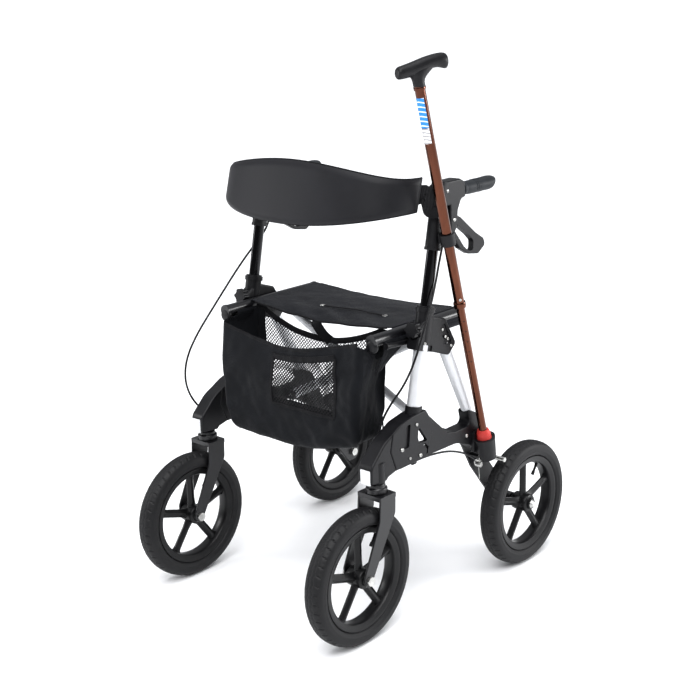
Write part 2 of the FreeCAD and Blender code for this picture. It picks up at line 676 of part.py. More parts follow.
def brace(label, side, brace_y):
    """One tube of the cross fold, from its lower pivot on one side to the far rail."""
    flip = 1 if side == LEFT else -1
    low = Vector(flip * D["rail_x"], brace_y, D["brace_z"])
    high = Vector(-flip * D["rail_x"], brace_y, D["brace_top_z"])
    along = high - low
    span = along.Length
    along.normalize()
    ring = doc.addObject("Part::Ellipse", label + "_section")
    bind(ring, MajorRadius="brace_major / 2", MinorRadius="brace_minor / 2")
    up_across = Y.cross(along)
    ring.Placement = Placement(low, Rotation(up_across, Y, along, "XYZ"))
    tube = doc.addObject("Part::Extrusion", label + "_tube")
    tube.Base = ring
    tube.DirMode = "Custom"
    tube.Dir = along
    tube.LengthFwd = span
    tube.Solid = True
    ends = [centred_cylinder(label + "_end_%d" % n, "brace_major / 2 - 1", "brace_minor", p, Y)
            for n, p in enumerate((low, high))]
    middle = (low + high) / 2
    holes = [centred_cylinder(label + "_hole_%d" % n, "pin_radius + brace_gap", "40", p, Y)
             for n, p in enumerate((low, middle, high))]
    keep(label, cut(label, fuse(label + "_solid", [tube] + ends), holes))


def seat_rail(side, brace_y):
    """Seat side tube with its end caps, the lug for a brace and the brace's pin."""
    flip = 1 if side == LEFT else -1
    x_rail = flip * D["rail_x"]
    front = Vector(x_rail, D["rail_front"], D["rail_z"])
    tube = cylinder("rail_tube_" + side, "rail_radius", "rail_length", front, Y)
    hollow = cylinder("rail_hollow_" + side, "rail_radius - tube_wall", "rail_length + 20",
                      front - Y * 10, Y)
    caps = []
    for n, (start, way) in enumerate(((front, -1), (front + Y * D["rail_length"], 1))):
        caps.append(cylinder("rail_cap_%s_%d" % (side, n), "rail_radius + 1", "7", start, Y * way))
        caps.append(cylinder("rail_plug_%s_%d" % (side, n), "rail_radius - tube_wall", "14",
                             start, Y * -way))
    pin_at = Vector(x_rail, brace_y, D["brace_top_z"])
    ears = []
    for n, offset in enumerate((-9.6, 9.6)):
        ears.append(box("rail_ear_%s_%d" % (side, n), "20", "6", "24",
                        pin_at + Vector(0, offset, 11)))
        ears.append(centred_cylinder("rail_ear_round_%s_%d" % (side, n), "10", "6",
                                     pin_at + Vector(0, offset, 0), Y))
    pin = centred_cylinder("rail_pin_" + side, "pin_radius", "32", pin_at, Y)
    solid = cut("rail_open_" + side, fuse("rail_solid_" + side, [tube] + ears), [hollow])
    keep("seat_rail_" + side, fuse("seat_rail_" + side, [solid, pin] + caps))


def seat_sling():
    """Seat fabric between the rails, plain and flat."""
    return box("seat_sling", "2 * rail_x - 32", "226", "seat_thickness",
               Vector(0, 22, D["rail_z"] + 8))


def bag():
    """Shopping bag hung in front of and below the seat, open at the top."""
    outline = [(-196, 606), (-216, 500, 60), (-206, 362, 20), (-150, 346, 30), (-96, 352, 25),
               (-76, 470, 60), (-72, 586)]
    shell = plate("bag_outside", outline, 0, "444")
    inner = [(-192, 612), (-211.5, 500, 56), (-201.5, 367, 16), (-150, 350.5, 26),
             (-100, 356.5, 21), (-80.5, 470, 56), (-76.5, 612)]
    hollow = plate("bag_inside", inner, 0, "436")
    return cut("bag", shell, [hollow])


def backrest_pad():
    """Bowed padded band between the handle posts, leaning with them."""
    half, bow, half_thick = D["back_half"], D["back_bow"], D["back_thickness"] / 2
    outside = [(-half - half_thick, 0), (-half - 2, 25 - bow, 129), (0, -bow - 15, 809),
               (half + 2, 25 - bow, 129), (half + half_thick, 0)]
    inside = [(half - half_thick, 0), (half - 16, 39 - bow, 111), (0, 2 - bow, 791),
              (16 - half, 39 - bow, 111), (half_thick - half, 0)]
    plan_edges = rounded_outline(outside + inside)
    band, plan_sketch = new_body("backrest_plan", "XY_Plane", plan_edges)
    band_pad = band.newObject("PartDesign::Pad", "backrest_plan_pad")
    band_pad.Profile = plan_sketch
    band_pad.SideType = "Symmetric"
    band_pad.Length = 260
    band.Placement = Placement(Vector(0, D["back_ends_y"], 915), Rotation(X, -D["back_lean"]))
    top, bottom = D["back_end_top"], D["back_end_bottom"]
    wide = half + half_thick + 2
    front_edges = rounded_outline([(-wide, top, 8), (0, top + 72, 900), (wide, top, 8),
                                   (wide, bottom, 8), (0, bottom - 52, 1200),
                                   (-wide, bottom, 8)])
    face, front_sketch = new_body("backrest_front", "XZ_Plane", front_edges)
    front_pad = face.newObject("PartDesign::Pad", "backrest_front_pad")
    front_pad.Profile = front_sketch
    front_pad.SideType = "Symmetric"
    front_pad.Length = 560
    return common("backrest_pad", band, face)


# -------------------------------------------------------------- brake cables

CABLE_LEFT = [(264, 34, 840), (264, 26, 806), (267, 10, 772), (277, -14, 738), (286, -40, 700),
              (289, -66, 655), (288, -86, 612), (282, -104, 568), (270, -122, 528),
              (252, -140, 494), (239, -156, 456), (238, -172, 412), (238, -176, 378),
              (245, -161, 349), (260, -132, 346), (268, -104, 352)]
CABLE_LEFT_TAIL = [(268, -58, 352), (270, -20, 350), (276, 22, 346), (284, 60, 334),
                   (286, 92, 316), (284, 118, 298), (283, 129, 291.4)]
CABLE_RIGHT = [(-264, 34, 840), (-265, 26, 806), (-273, 8, 776), (-280, -28, 744),
               (-283, -72, 704), (-287, -114, 660), (-289, -158, 616), (-290, -202, 572),
               (-291, -236, 524), (-291, -246, 476), (-290, -236, 434), (-289, -212, 398),
               (-288, -182, 370), (-287, -152, 352), (-279, -130, 349), (-268, -112, 352)]


def cable(side):
    """Brake cable from the handle head to the brake arm, through the hub's lug."""
    front = CABLE_LEFT if side == LEFT else CABLE_RIGHT
    flip = 1 if side == LEFT else -1
    tail = [(flip * x, y, z) for x, y, z in CABLE_LEFT_TAIL]
    return pipe("brake_cable_" + side, front + tail, D["cable_radius"])


# ----------------------------------------------------------------- the cane

def cane():
    upper_start = D["cane_collar_at"]
    tube = cylinder("cane_tube", "cane_upper_radius", "cane_top_at - cane_collar_at",
                    cane_axis(upper_start), CANE_UP)
    tube_bore = cylinder("cane_tube_bore", "cane_upper_radius - cane_wall", "1000",
                         cane_axis(upper_start - 10), CANE_UP)
    keep("cane_upper_tube", cut("cane_upper_tube", tube, [tube_bore]))
    lower = cylinder("cane_lower_outside", "cane_lower_radius", "480", cane_axis(8), CANE_UP)
    lower_bore = cylinder("cane_lower_bore", "cane_lower_radius - cane_wall", "520",
                          cane_axis(20), CANE_UP)
    keep("cane_lower_tube", cut("cane_lower_tube", lower, [lower_bore]))
    tip = turned("cane_tip_body", [(0, 0), (17, 0, 2), (17, 8, 3), (14.5, 14, 3), (13.5, 40, 3),
                                   (9.2, 43), (9.2, 8), (0, 8)], cane_axis(0), CANE_UP)
    keep("cane_tip", tip)
    cane_handle()


def cane_handle():
    """Derby handle: a swelling bar across the shaft's top, longer towards the rear."""
    top = cane_axis(D["cane_top_at"])
    heading = math.radians(70)
    across = Vector(math.cos(heading), math.sin(heading), 0)
    sections = []
    stations = [(-47, 5, 7, 5), (-44, 5, 11, 10), (-34, 7, 13.5, 13), (-18, 7, 14, 15),
                (0, 8, 13.5, 17), (20, 14, 13, 14.5), (40, 18, 13, 13), (56, 19, 13, 14.5),
                (64, 18, 11, 13), (67, 17, 7, 8)]
    for n, (at, rise, wide, tall) in enumerate(stations):
        ring = doc.addObject("Part::Ellipse", "cane_handle_section_%d" % n)
        major, minor = max(wide, tall), min(wide, tall)
        ring.MajorRadius = major
        ring.MinorRadius = minor
        sideways = across.cross(Z)
        first = sideways if wide >= tall else Z
        second = across.cross(first)
        ring.Placement = Placement(top + across * at + Z * (rise + 12),
                                   Rotation(first, second, across, "XYZ"))
        sections.append(ring)
    bar = doc.addObject("Part::Loft", "cane_handle_bar")
    bar.Sections = sections
    bar.Solid = True
    bar.Ruled = False
    neck = cone("cane_handle_neck", "cane_upper_radius + 1.2", "14", "24",
                top + CANE_UP * -14, CANE_UP)
    socket = cylinder("cane_handle_socket", "cane_upper_radius", "40", top - CANE_UP * 40,
                      CANE_UP)
    keep("cane_handle", cut("cane_handle", fuse("cane_handle_solid", [bar, neck]), [socket]))


def cane_clip():
    """Hook on the left post sleeve that steadies the cane; its mouth is at the rear."""
    at = cane_axis(527)
    ring = cylinder("clip_ring", "cane_upper_radius + 5", "26", at - CANE_UP * 13, CANE_UP)
    bridge = box("clip_bridge", "22", "22", "20", Vector(285, 3, at.z))
    bore = cylinder("clip_bore", "cane_upper_radius + 0.4", "60", at - CANE_UP * 30, CANE_UP)
    mouth = box("clip_mouth", "2 * cane_upper_radius + 0.8", "60", "80", Vector(0, 0, 0))
    mouth.Placement = Placement(at, Rotation(X, D["cane_lean"])) * Placement(
        Vector(-D["cane_upper_radius"] - 0.4, 0, -40), Rotation())
    sleeve_room = oval("clip_sleeve_room", "post_major + 13", "post_minor + 11", "120",
                       main_axis(770), D["main_lean"])
    return cut("cane_clip", fuse("clip_solid", [ring, bridge]), [bore, mouth, sleeve_room])


# ------------------------------------------------------------------ assembly

BRACE_FRONT_Y, BRACE_REAR_Y = 33, 46.5

both_sides("front_tube", front_tube())
both_sides("rear_tube", rear_tube())
both_sides("seat_bracket", seat_bracket())
both_sides("height_knob", height_knob())
both_sides("front_arm", front_arm())
both_sides("axle_plate", axle_plate())
both_sides("rear_axle", rear_axle())
both_sides("handle_post", handle_post())
both_sides("post_sleeve", post_sleeve())
both_sides("handle_head", handle_head())
both_sides("grip", grip())
both_sides("lever_pin", lever_pin())
both_sides("brake_lever", brake_lever())
both_sides("brake_shoe", brake_shoe())
for side, flip, brace_y in ((LEFT, 1, BRACE_FRONT_Y), (RIGHT, -1, BRACE_REAR_Y)):
    keep("lower_bracket_" + side, finished_bracket(side, brace_y))
    keep("brace_pin_" + side, centred_cylinder("brace_pin_" + side, "pin_radius", "32",
                                               Vector(flip * D["rail_x"], brace_y, D["brace_z"]),
                                               Y))
    keep("brake_cable_" + side, cable(side))
    caster(side)
    wheel("front_wheel_" + side, Vector(flip * D["caster_x"], D["caster_y"] - D["caster_trail"],
                                        D["wheel_radius"]))
    wheel("rear_wheel_" + side, Vector(flip * D["rear_track"], D["rear_axle_y"],
                                       D["wheel_radius"]))
brace("brace_left", LEFT, BRACE_FRONT_Y)
brace("brace_right", RIGHT, BRACE_REAR_Y)
seat_rail(LEFT, BRACE_REAR_Y)
seat_rail(RIGHT, BRACE_FRONT_Y)
centre = Vector(0, (BRACE_FRONT_Y + BRACE_REAR_Y) / 2, (D["brace_z"] + D["brace_top_z"]) / 2)
keep("brace_bolt", fuse("brace_bolt", [
    centred_cylinder("brace_bolt_shaft", "pin_radius", "34", centre, Y),
    centred_cylinder("brace_bolt_head", "8", "4", centre - Y * 15.2, Y),
    centred_cylinder("brace_bolt_nut", "8", "4", centre + Y * 15.2, Y)]))
keep("seat_sling", seat_sling())
keep("bag", bag())
keep("backrest_pad", backrest_pad())
keep("cane_cup", cane_cup())
keep("cane_clip", cane_clip())
cane()

# ---------------------------------------------------------------- write out

doc.recompute()
for obj in doc.Objects:
    if "Invalid" in obj.State or "Error" in obj.State:
        raise RuntimeError("%s did not compute: %s" % (obj.Name, obj.State))
os.makedirs("parts", exist_ok=True)
for label, obj in NODES.items():
    shape = obj.Shape
    if shape.isNull() or not shape.isValid():
        raise RuntimeError("%s is null or not valid" % label)
    print("%-20s solids %d volume %9.0f" % (label, len(shape.Solids), shape.Volume))
    shape.exportStep("parts/%s.step" % label)
print(len(NODES), "nodes")
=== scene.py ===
"""Folding rollator walker with a stored cane: the looks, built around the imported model."""
import json
import math

import bmesh
import bpy
from mathutils import Matrix, Vector, noise


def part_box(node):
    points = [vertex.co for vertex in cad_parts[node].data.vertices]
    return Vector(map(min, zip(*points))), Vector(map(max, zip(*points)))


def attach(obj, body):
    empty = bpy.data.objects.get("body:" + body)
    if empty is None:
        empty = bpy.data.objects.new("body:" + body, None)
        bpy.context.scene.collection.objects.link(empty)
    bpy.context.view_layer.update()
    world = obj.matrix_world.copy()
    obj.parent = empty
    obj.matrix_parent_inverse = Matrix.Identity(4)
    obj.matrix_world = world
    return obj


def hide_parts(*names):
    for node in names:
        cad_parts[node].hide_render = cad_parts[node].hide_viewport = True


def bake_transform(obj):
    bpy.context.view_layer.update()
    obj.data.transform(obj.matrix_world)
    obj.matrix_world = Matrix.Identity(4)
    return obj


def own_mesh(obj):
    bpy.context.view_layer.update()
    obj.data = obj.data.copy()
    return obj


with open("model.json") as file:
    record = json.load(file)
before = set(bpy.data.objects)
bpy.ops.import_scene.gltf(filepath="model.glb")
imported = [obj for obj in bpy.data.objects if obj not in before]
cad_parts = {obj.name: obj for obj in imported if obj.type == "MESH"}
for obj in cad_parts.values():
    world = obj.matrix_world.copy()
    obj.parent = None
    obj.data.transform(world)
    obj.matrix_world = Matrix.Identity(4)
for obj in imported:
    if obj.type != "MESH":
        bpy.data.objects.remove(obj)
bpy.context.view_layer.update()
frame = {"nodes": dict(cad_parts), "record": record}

SIDES = {"left": 1, "right": -1}
MM = 0.001
X, Y, Z = Vector((1, 0, 0)), Vector((0, 1, 0)), Vector((0, 0, 1))


def mm(x, y, z):
    """A point given in millimetres."""
    return Vector((x, y, z)) * MM


def middle(node):
    """Middle of a CAD node's box."""
    low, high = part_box(node)
    return (low + high) / 2


# ------------------------------------------------- directions of the frame

MAIN_LEAN = math.radians(12)
CANE_LEAN = math.radians(15.14)
CANE_UP = Vector((0, -math.sin(CANE_LEAN), math.cos(CANE_LEAN)))
FRAME_X = middle("handle_post_left").x
CANE_FOOT = mm(300, 136, 322)


def main_axis(z):
    """Point of the left post's axis at height z, in metres."""
    return Vector((FRAME_X, -0.034 + (z - 0.680) * math.tan(MAIN_LEAN), z))


def cane_axis(along):
    """Point of the cane's axis, measured up from its base, in metres."""
    return CANE_FOOT + CANE_UP * along


# --------------------------------------------------------------- materials

class Nodes:
    """A new material and short calls that add nodes to it."""

    def __init__(self, name):
        self.material = bpy.data.materials.new(name)
        self.material.use_nodes = True
        self.tree = self.material.node_tree
        self.shader = self.tree.nodes["Principled BSDF"]
        self.place = self.add("ShaderNodeTexCoord").outputs["Object"]

    def add(self, kind, **settings):
        node = self.tree.nodes.new(kind)
        for key, value in settings.items():
            if key.startswith("in_"):
                node.inputs[key[3:].replace("_", " ")].default_value = value
            else:
                setattr(node, key, value)
        return node

    def link(self, source, target):
        self.tree.links.new(source, target)

    def mapped(self, scale, turn=(0, 0, 0)):
        """Object coordinates stretched by a scale for each axis."""
        mapping = self.add("ShaderNodeMapping", in_Scale=scale,
                           in_Rotation=[math.radians(a) for a in turn])
        self.link(self.place, mapping.inputs["Vector"])
        return mapping.outputs["Vector"]

    def noise(self, scale, detail=3.0, rough=0.55, where=None):
        node = self.add("ShaderNodeTexNoise", in_Scale=scale, in_Detail=detail,
                        in_Roughness=rough)
        self.link(self.place if where is None else where, node.inputs["Vector"])
        return node.outputs["Fac"]

    def wave(self, scale, direction, where=None, distortion=0.0):
        node = self.add("ShaderNodeTexWave", bands_direction=direction, in_Scale=scale,
                        in_Distortion=distortion)
        self.link(self.place if where is None else where, node.inputs["Vector"])
        return node.outputs["Fac"]

    def ramp(self, source, low, high, start=0.3, end=0.7):
        """A colour ramp between two colours."""
        node = self.add("ShaderNodeValToRGB")
        for stop, place, colour in zip(node.color_ramp.elements, (start, end), (low, high)):
            stop.position, stop.color = place, (*colour, 1)
        self.link(source, node.inputs["Fac"])
        return node.outputs["Color"]

    def range(self, source, low, high):
        node = self.add("ShaderNodeMapRange", in_To_Min=low, in_To_Max=high)
        self.link(source, node.inputs["Value"])
        return node.outputs["Result"]

    def math(self, kind, one, other):
        node = self.add("ShaderNodeMath", operation=kind)
        for slot, value in ((0, one), (1, other)):
            if isinstance(value, (int, float)):
                node.inputs[slot].default_value = value
            else:
                self.link(value, node.inputs[slot])
        return node.outputs[0]

    def blend(self, one, share, other):
        """A share of one value plus the rest of another."""
        return self.math("ADD", self.math("MULTIPLY", one, share),
                         self.math("MULTIPLY", other, round(1 - share, 6)))

    def bump(self, height, strength, distance=0.001, after=None):
        node = self.add("ShaderNodeBump", in_Strength=strength, in_Distance=distance)
        self.link(height, node.inputs["Height"])
        if after is not None:
            self.link(after, node.inputs["Normal"])
        return node.outputs["Normal"]

    def edges(self, size):
        """A normal that rounds sharp edges by the given radius."""
        return self.add("ShaderNodeBevel", samples=4, in_Radius=size).outputs["Normal"]

    def finish(self, colour, roughness, normal=None, **constants):
        self.link(colour, self.shader.inputs["Base Color"])
        self.link(roughness, self.shader.inputs["Roughness"])
        if normal is not None:
            self.link(normal, self.shader.inputs["Normal"])
        for key, value in constants.items():
            self.shader.inputs[key.replace("_", " ")].default_value = value
        return self.material


def moulded(name, dark, light, rough, grain, edge=0.0007):
    """Moulded plastic or rubber: fine grain, faint cloudiness and softened edges."""
    n = Nodes(name)
    clouds = n.noise(45, 4)
    fine = n.noise(grain, 2)
    dust = n.noise(9, 6, 0.7)
    colour = n.ramp(n.blend(clouds, 0.6, dust), dark, light)
    normal = n.bump(fine, 0.16, 0.0004, n.edges(edge))
    return n.finish(colour, n.range(clouds, rough - 0.07, rough + 0.08), normal,
                    Specular_IOR_Level=0.32)


def anodised(name, dark, light, rough, coat=0.0, metal=1.0):
    """Anodised tube: faint lengthwise drawing lines and slow tone changes."""
    n = Nodes(name)
    lines = n.noise(260, 3, 0.6, n.mapped((1, 1, 0.04)))
    slow = n.noise(7, 2)
    colour = n.ramp(n.blend(lines, 0.35, slow), dark, light)
    normal = n.bump(lines, 0.05, 0.0003, n.edges(0.0004))
    return n.finish(colour, n.range(lines, rough - 0.05, rough + 0.07), normal,
                    Metallic=metal, Coat_Weight=coat, Coat_Roughness=0.12)


def powder_coat(name, dark, light, rough):
    """Satin black paint with a fine orange peel."""
    n = Nodes(name)
    peel = n.noise(520, 2)
    slow = n.noise(14, 4)
    normal = n.bump(peel, 0.12, 0.0004, n.edges(0.0007))
    return n.finish(n.ramp(slow, dark, light), n.range(slow, rough - 0.06, rough + 0.08), normal,
                    Coat_Weight=0.15, Coat_Roughness=0.25)


def zinc(name):
    """Zinc-plated steel with a mottled, slightly dulled surface."""
    n = Nodes(name)
    spangle = n.noise(420, 3)
    slow = n.noise(60, 3)
    normal = n.bump(spangle, 0.08, 0.0003, n.edges(0.0004))
    return n.finish(n.ramp(slow, (0.38, 0.38, 0.37), (0.66, 0.66, 0.64)),
                    n.range(spangle, 0.24, 0.42), normal, Metallic=1.0)


def woven(name, dark, light, pitch, sheen=0.25, rough=0.78, turn=(0, 0, 0), depth=0.35):
    """Plain-weave cloth with the given thread pitch in metres."""
    n = Nodes(name)
    where = n.mapped((1, 1, 1), turn)
    per_metre = 1 / pitch / 3.14159
    warp, weft, depth_wave = [n.wave(per_metre, way, where, 0.4) for way in "XZY"]
    threads = n.math("MAXIMUM", n.math("MULTIPLY", warp, weft), n.math("MULTIPLY", depth_wave, warp))
    clouds = n.noise(22, 5, 0.65)
    fuzz = n.noise(900, 2)
    colour = n.ramp(n.blend(threads, 0.35, clouds), dark, light, 0.25, 0.75)
    normal = n.bump(n.math("ADD", threads, n.math("MULTIPLY", fuzz, 0.3)), depth, 0.0005)
    return n.finish(colour, n.range(clouds, rough - 0.08, rough + 0.1), normal,
                    Sheen_Weight=sheen, Sheen_Roughness=0.4, Specular_IOR_Level=0.22)


def tyre_rubber():
    n = Nodes("tyre_rubber")
    grain = n.noise(700, 3)
    scuff = n.noise(26, 6, 0.7)
    colour = n.ramp(scuff, (0.006, 0.006, 0.007), (0.014, 0.014, 0.015), 0.35, 0.8)
    normal = n.bump(grain, 0.18, 0.0004)
    return n.finish(colour, n.range(scuff, 0.45, 0.68), normal, Specular_IOR_Level=0.35)


def backrest_cover():
    """Smooth charcoal cover with a fine leather-like grain."""
    n = Nodes("backrest_cover")
    cells = n.add("ShaderNodeTexVoronoi", feature="F1", in_Scale=900)
    n.link(n.place, cells.inputs["Vector"])
    slow = n.noise(8, 4)
    fine = n.noise(500, 2)
    colour = n.ramp(slow, (0.008, 0.008, 0.010), (0.013, 0.013, 0.016))
    height = n.blend(cells.outputs["Distance"], 0.7, fine)
    return n.finish(colour, n.range(slow, 0.46, 0.60), n.bump(height, 0.2, 0.0004),
                    Sheen_Weight=0.04, Sheen_Roughness=0.35, Specular_IOR_Level=0.3)


def reflector():
    """Clear prismatic reflector: small raised pyramids over a silver base."""
    n = Nodes("reflector_prisms")
    one = n.wave(150, "DIAGONAL", n.mapped((1, 1, 1)))
    other = n.wave(150, "DIAGONAL", n.mapped((-1, 1, 1)))
    prisms = n.math("MULTIPLY", one, other)
    colour = n.ramp(prisms, (0.62, 0.63, 0.64), (0.93, 0.94, 0.95), 0.2, 0.8)
    return n.finish(colour, n.range(prisms, 0.12, 0.3), n.bump(prisms, 0.5, 0.0006),
                    Metallic=0.25, Coat_Weight=0.8, Coat_Roughness=0.08)


def label_paper(name, colour_low, colour_high, stripe):
    """Printed label with plain generic stripes along it."""
    n = Nodes(name)
    bands = n.wave(stripe, "Z", n.mapped((1, 1, 1), (15, 0, 0)))
    fibre = n.noise(300, 3)
    colour = n.ramp(bands, colour_low, colour_high, 0.80, 0.84)
    return n.finish(colour, n.range(fibre, 0.28, 0.42), n.bump(fibre, 0.05, 0.0002),
                    Coat_Weight=0.3, Coat_Roughness=0.15)


MATERIALS = {
    "silver_tube": anodised("silver_anodised", (0.60, 0.61, 0.63), (0.74, 0.75, 0.77), 0.42,
                            0.0, 0.45),
    "black_plastic": moulded("black_moulding", (0.0045, 0.0045, 0.0055), (0.010, 0.010, 0.012),
                             0.42, 1100),
    "black_metal": powder_coat("black_powder_coat", (0.004, 0.004, 0.005),
                               (0.009, 0.009, 0.011), 0.34),
    "steel": zinc("zinc_plate"),
    "grip_rubber": moulded("grip_rubber", (0.012, 0.014, 0.017), (0.022, 0.025, 0.029),
                           0.55, 700),
    "cable_black": moulded("cable_casing", (0.004, 0.004, 0.005), (0.009, 0.009, 0.010),
                           0.32, 900, 0.0002),
    "tyre": tyre_rubber(),
    "rim_black": moulded("rim_nylon", (0.0045, 0.0045, 0.005), (0.010, 0.010, 0.011), 0.34, 900),
    "seat_fabric": woven("seat_nylon", (0.0035, 0.004, 0.006), (0.010, 0.011, 0.016), 0.0009, 0.08),
    "bag_fabric": woven("bag_nylon", (0.003, 0.0035, 0.005), (0.009, 0.010, 0.013), 0.0009, 0.06),
    "backrest_vinyl": backrest_cover(),
    "bronze_tube": anodised("bronze_anodised", (0.070, 0.020, 0.009), (0.135, 0.043, 0.019), 0.16,
                            0.5),
    "red_rubber": moulded("red_rubber", (0.38, 0.035, 0.030), (0.52, 0.060, 0.050), 0.5, 800),
}
EXTRA = {
    "binding": woven("binding_tape", (0.004, 0.004, 0.005), (0.013, 0.013, 0.015), 0.0014, 0.05,
                     depth=0.6),
    "webbing": woven("ribbed_webbing", (0.004, 0.004, 0.005), (0.016, 0.016, 0.018), 0.0022, 0.05,
                     depth=0.9),
    "net": woven("net_thread", (0.006, 0.006, 0.007), (0.016, 0.016, 0.018), 0.0006, 0.1, 0.6),
    "reflector": reflector(),
    "blue_label": label_paper("blue_label", (0.010, 0.25, 0.72), (0.75, 0.85, 0.95), 37),
    "white_label": label_paper("white_label", (0.80, 0.80, 0.81), (0.30, 0.30, 0.32), 50),
    "post_black": anodised("post_black", (0.006, 0.006, 0.007), (0.014, 0.014, 0.016), 0.2, 0.4),
}


# ----------------------------------------------------------- mesh helpers

def piece(name, skin, body, slot, material=None, replaces=()):
    """A mesh object that rides on a CAD body, in its slot's material unless told otherwise."""
    verts, faces = skin
    mesh = bpy.data.meshes.new(name)
    mesh.from_pydata([tuple(v) for v in verts], [], [tuple(f) for f in faces])
    mesh.validate()
    return settle(bpy.data.objects.new(name, mesh), body, slot, material, replaces)


def show(obj):
    """Link an object to the scene."""
    bpy.context.scene.collection.objects.link(obj)


def settle(obj, body, slot, material=None, replaces=(), smooth=True):
    """Link an object, fix its normals and give it its slot's material, or the one given, and its
    body.
    """
    show(obj)
    mesh = obj.data
    work = bmesh.new()
    work.from_mesh(mesh)
    bmesh.ops.remove_doubles(work, verts=work.verts, dist=1e-6)
    bmesh.ops.recalc_face_normals(work, faces=work.faces)
    work.to_mesh(mesh)
    work.free()
    mesh.materials.clear()
    mesh.materials.append(material or MATERIALS[slot])
    mesh.polygons.foreach_set("use_smooth", [smooth] * len(mesh.polygons))
    if smooth:
        mesh.set_sharp_from_angle(angle=math.radians(38))
    if body:
        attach(obj, body)
    if replaces:
        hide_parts(*replaces)
    return obj


def mesh_from(work, name):
    """A new mesh with what a bmesh holds, which is freed."""
    mesh = bpy.data.meshes.new(name)
    work.to_mesh(mesh)
    work.free()
    return mesh


def add_skin(work, skin):
    """Add the points and faces of a skin to a bmesh."""
    verts, faces = skin
    made = [work.verts.new(v) for v in verts]
    for face in faces:
        work.faces.new([made[i] for i in face])


def circle(count):
    """The cosine and sine of evenly spaced angles."""
    return [(math.cos(angle), math.sin(angle))
            for angle in (2 * math.pi * n / count for n in range(count))]


def signed_power(value, power):
    """A power that keeps the value's sign."""
    return math.copysign(abs(value) ** power, value)


def grid_faces(rows, columns, wrap_rows=False, wrap_columns=False):
    """Quads of a grid whose points are numbered row by row."""
    faces = []
    for r in range(rows if wrap_rows else rows - 1):
        below = (r + 1) % rows
        for c in range(columns if wrap_columns else columns - 1):
            after = (c + 1) % columns
            faces.append((r * columns + c, r * columns + after,
                          below * columns + after, below * columns + c))
    return faces


def loft(rings, caps=True):
    """Points and faces of a skin over closed rings of the same number of points."""
    count = len(rings[0])
    verts = [p for ring in rings for p in ring]
    faces = grid_faces(len(rings), count, wrap_columns=True)
    if caps:
        faces.append(tuple(range(count)))
        last = (len(rings) - 1) * count
        faces.append(tuple(last + i for i in reversed(range(count))))
    return verts, faces


def revolve(profile, centre, steps, axis=X, start=Z, closed=True):
    """Turn an outline of (radius, along) about an axis through centre."""
    side = axis.cross(start)
    verts = []
    for c, s in circle(steps):
        out = start * c + side * s
        verts += [centre + out * radius + axis * along for radius, along in profile]
    return verts, grid_faces(steps, len(profile), wrap_rows=True, wrap_columns=closed)


def rounded_box(name, size, centre, radius, body, slot, material):
    """A box with rounded edges."""
    work = bmesh.new()
    bmesh.ops.create_cube(work, size=1)
    bmesh.ops.scale(work, vec=size, verts=work.verts)
    bmesh.ops.bevel(work, geom=work.edges[:], offset=radius, segments=3, profile=0.5,
                    affect="EDGES")
    bmesh.ops.transform(work, matrix=Matrix.Translation(centre), verts=work.verts)
    settle(bpy.data.objects.new(name, mesh_from(work, name)), body, slot, material)


def smooth_route(points, per_run=10):
    """Points along a smooth curve through the given points."""
    spine = [points[0] * 2 - points[1]] + list(points) + [points[-1] * 2 - points[-2]]
    route = []
    for a, b, c, d in zip(spine, spine[1:], spine[2:], spine[3:]):
        for step in range(per_run):
            t = step / per_run
            route.append(0.5 * (2 * b + (c - a) * t + (2 * a - 5 * b + 4 * c - d) * t ** 2
                                + (3 * b - a - 3 * c + d) * t ** 3))
    route.append(points[-1])
    return route


def carried_frames(route, first_side):
    """Two cross directions at each point of a route, carried along without twist."""
    frames = []
    side = first_side
    for i in range(len(route)):
        ahead = route[min(i + 1, len(route) - 1)] - route[max(i - 1, 0)]
        ahead.normalize()
        side = (side - ahead * side.dot(ahead)).normalized()
        frames.append((side, ahead.cross(side)))
    return frames


def strip(route, width, thickness, across):
    """Skin of a flat strap with rounded edges along a route."""
    rings = []
    for point, (side, up) in zip(route, carried_frames(route, across)):
        rings.append([point + side * (signed_power(c, 0.3) * width / 2)
                      + up * (signed_power(s, 0.9) * thickness / 2) for c, s in circle(12)])
    return loft(rings)


def round_tube(route, radius, sides=14):
    """Skin of a round tube along a route."""
    rings = []
    for point, (side, up) in zip(route, carried_frames(route, Vector((0.3, 0.2, 0.9)))):
        rings.append([point + (side * c + up * s) * radius for c, s in circle(sides)])
    return loft(rings)


def bolt(name, at, direction, radius, height, body, slot="steel"):
    """Domed socket-head screw seen from outside."""
    direction = direction.normalized()
    start = direction.orthogonal().normalized()
    profile = [(radius, -height * 0.2), (radius, height * 0.55), (radius * 0.86, height * 0.9),
               (radius * 0.6, height), (radius * 0.48, height), (radius * 0.44, height * 0.4),
               (0.00001, height * 0.35)]
    piece(name, revolve(profile, at, 24, direction, start, closed=False), body, slot)


# ------------------------------------------------------ carried-over nodes

def paint_cad_nodes():
    """Give each CAD node the material of its slot."""
    for part in frame["record"]["subparts"]:
        obj = frame["nodes"][part["node"]]
        material = MATERIALS[part["material_slot"]]
        if part["node"].startswith("handle_post"):
            material = EXTRA["post_black"]
        obj.data.materials.clear()
        obj.data.materials.append(material)


# ------------------------------------------------------------------ wheels

TREAD_PITCHES = 46
TYRE_STEPS = 460
TYRE_SECTION = 60


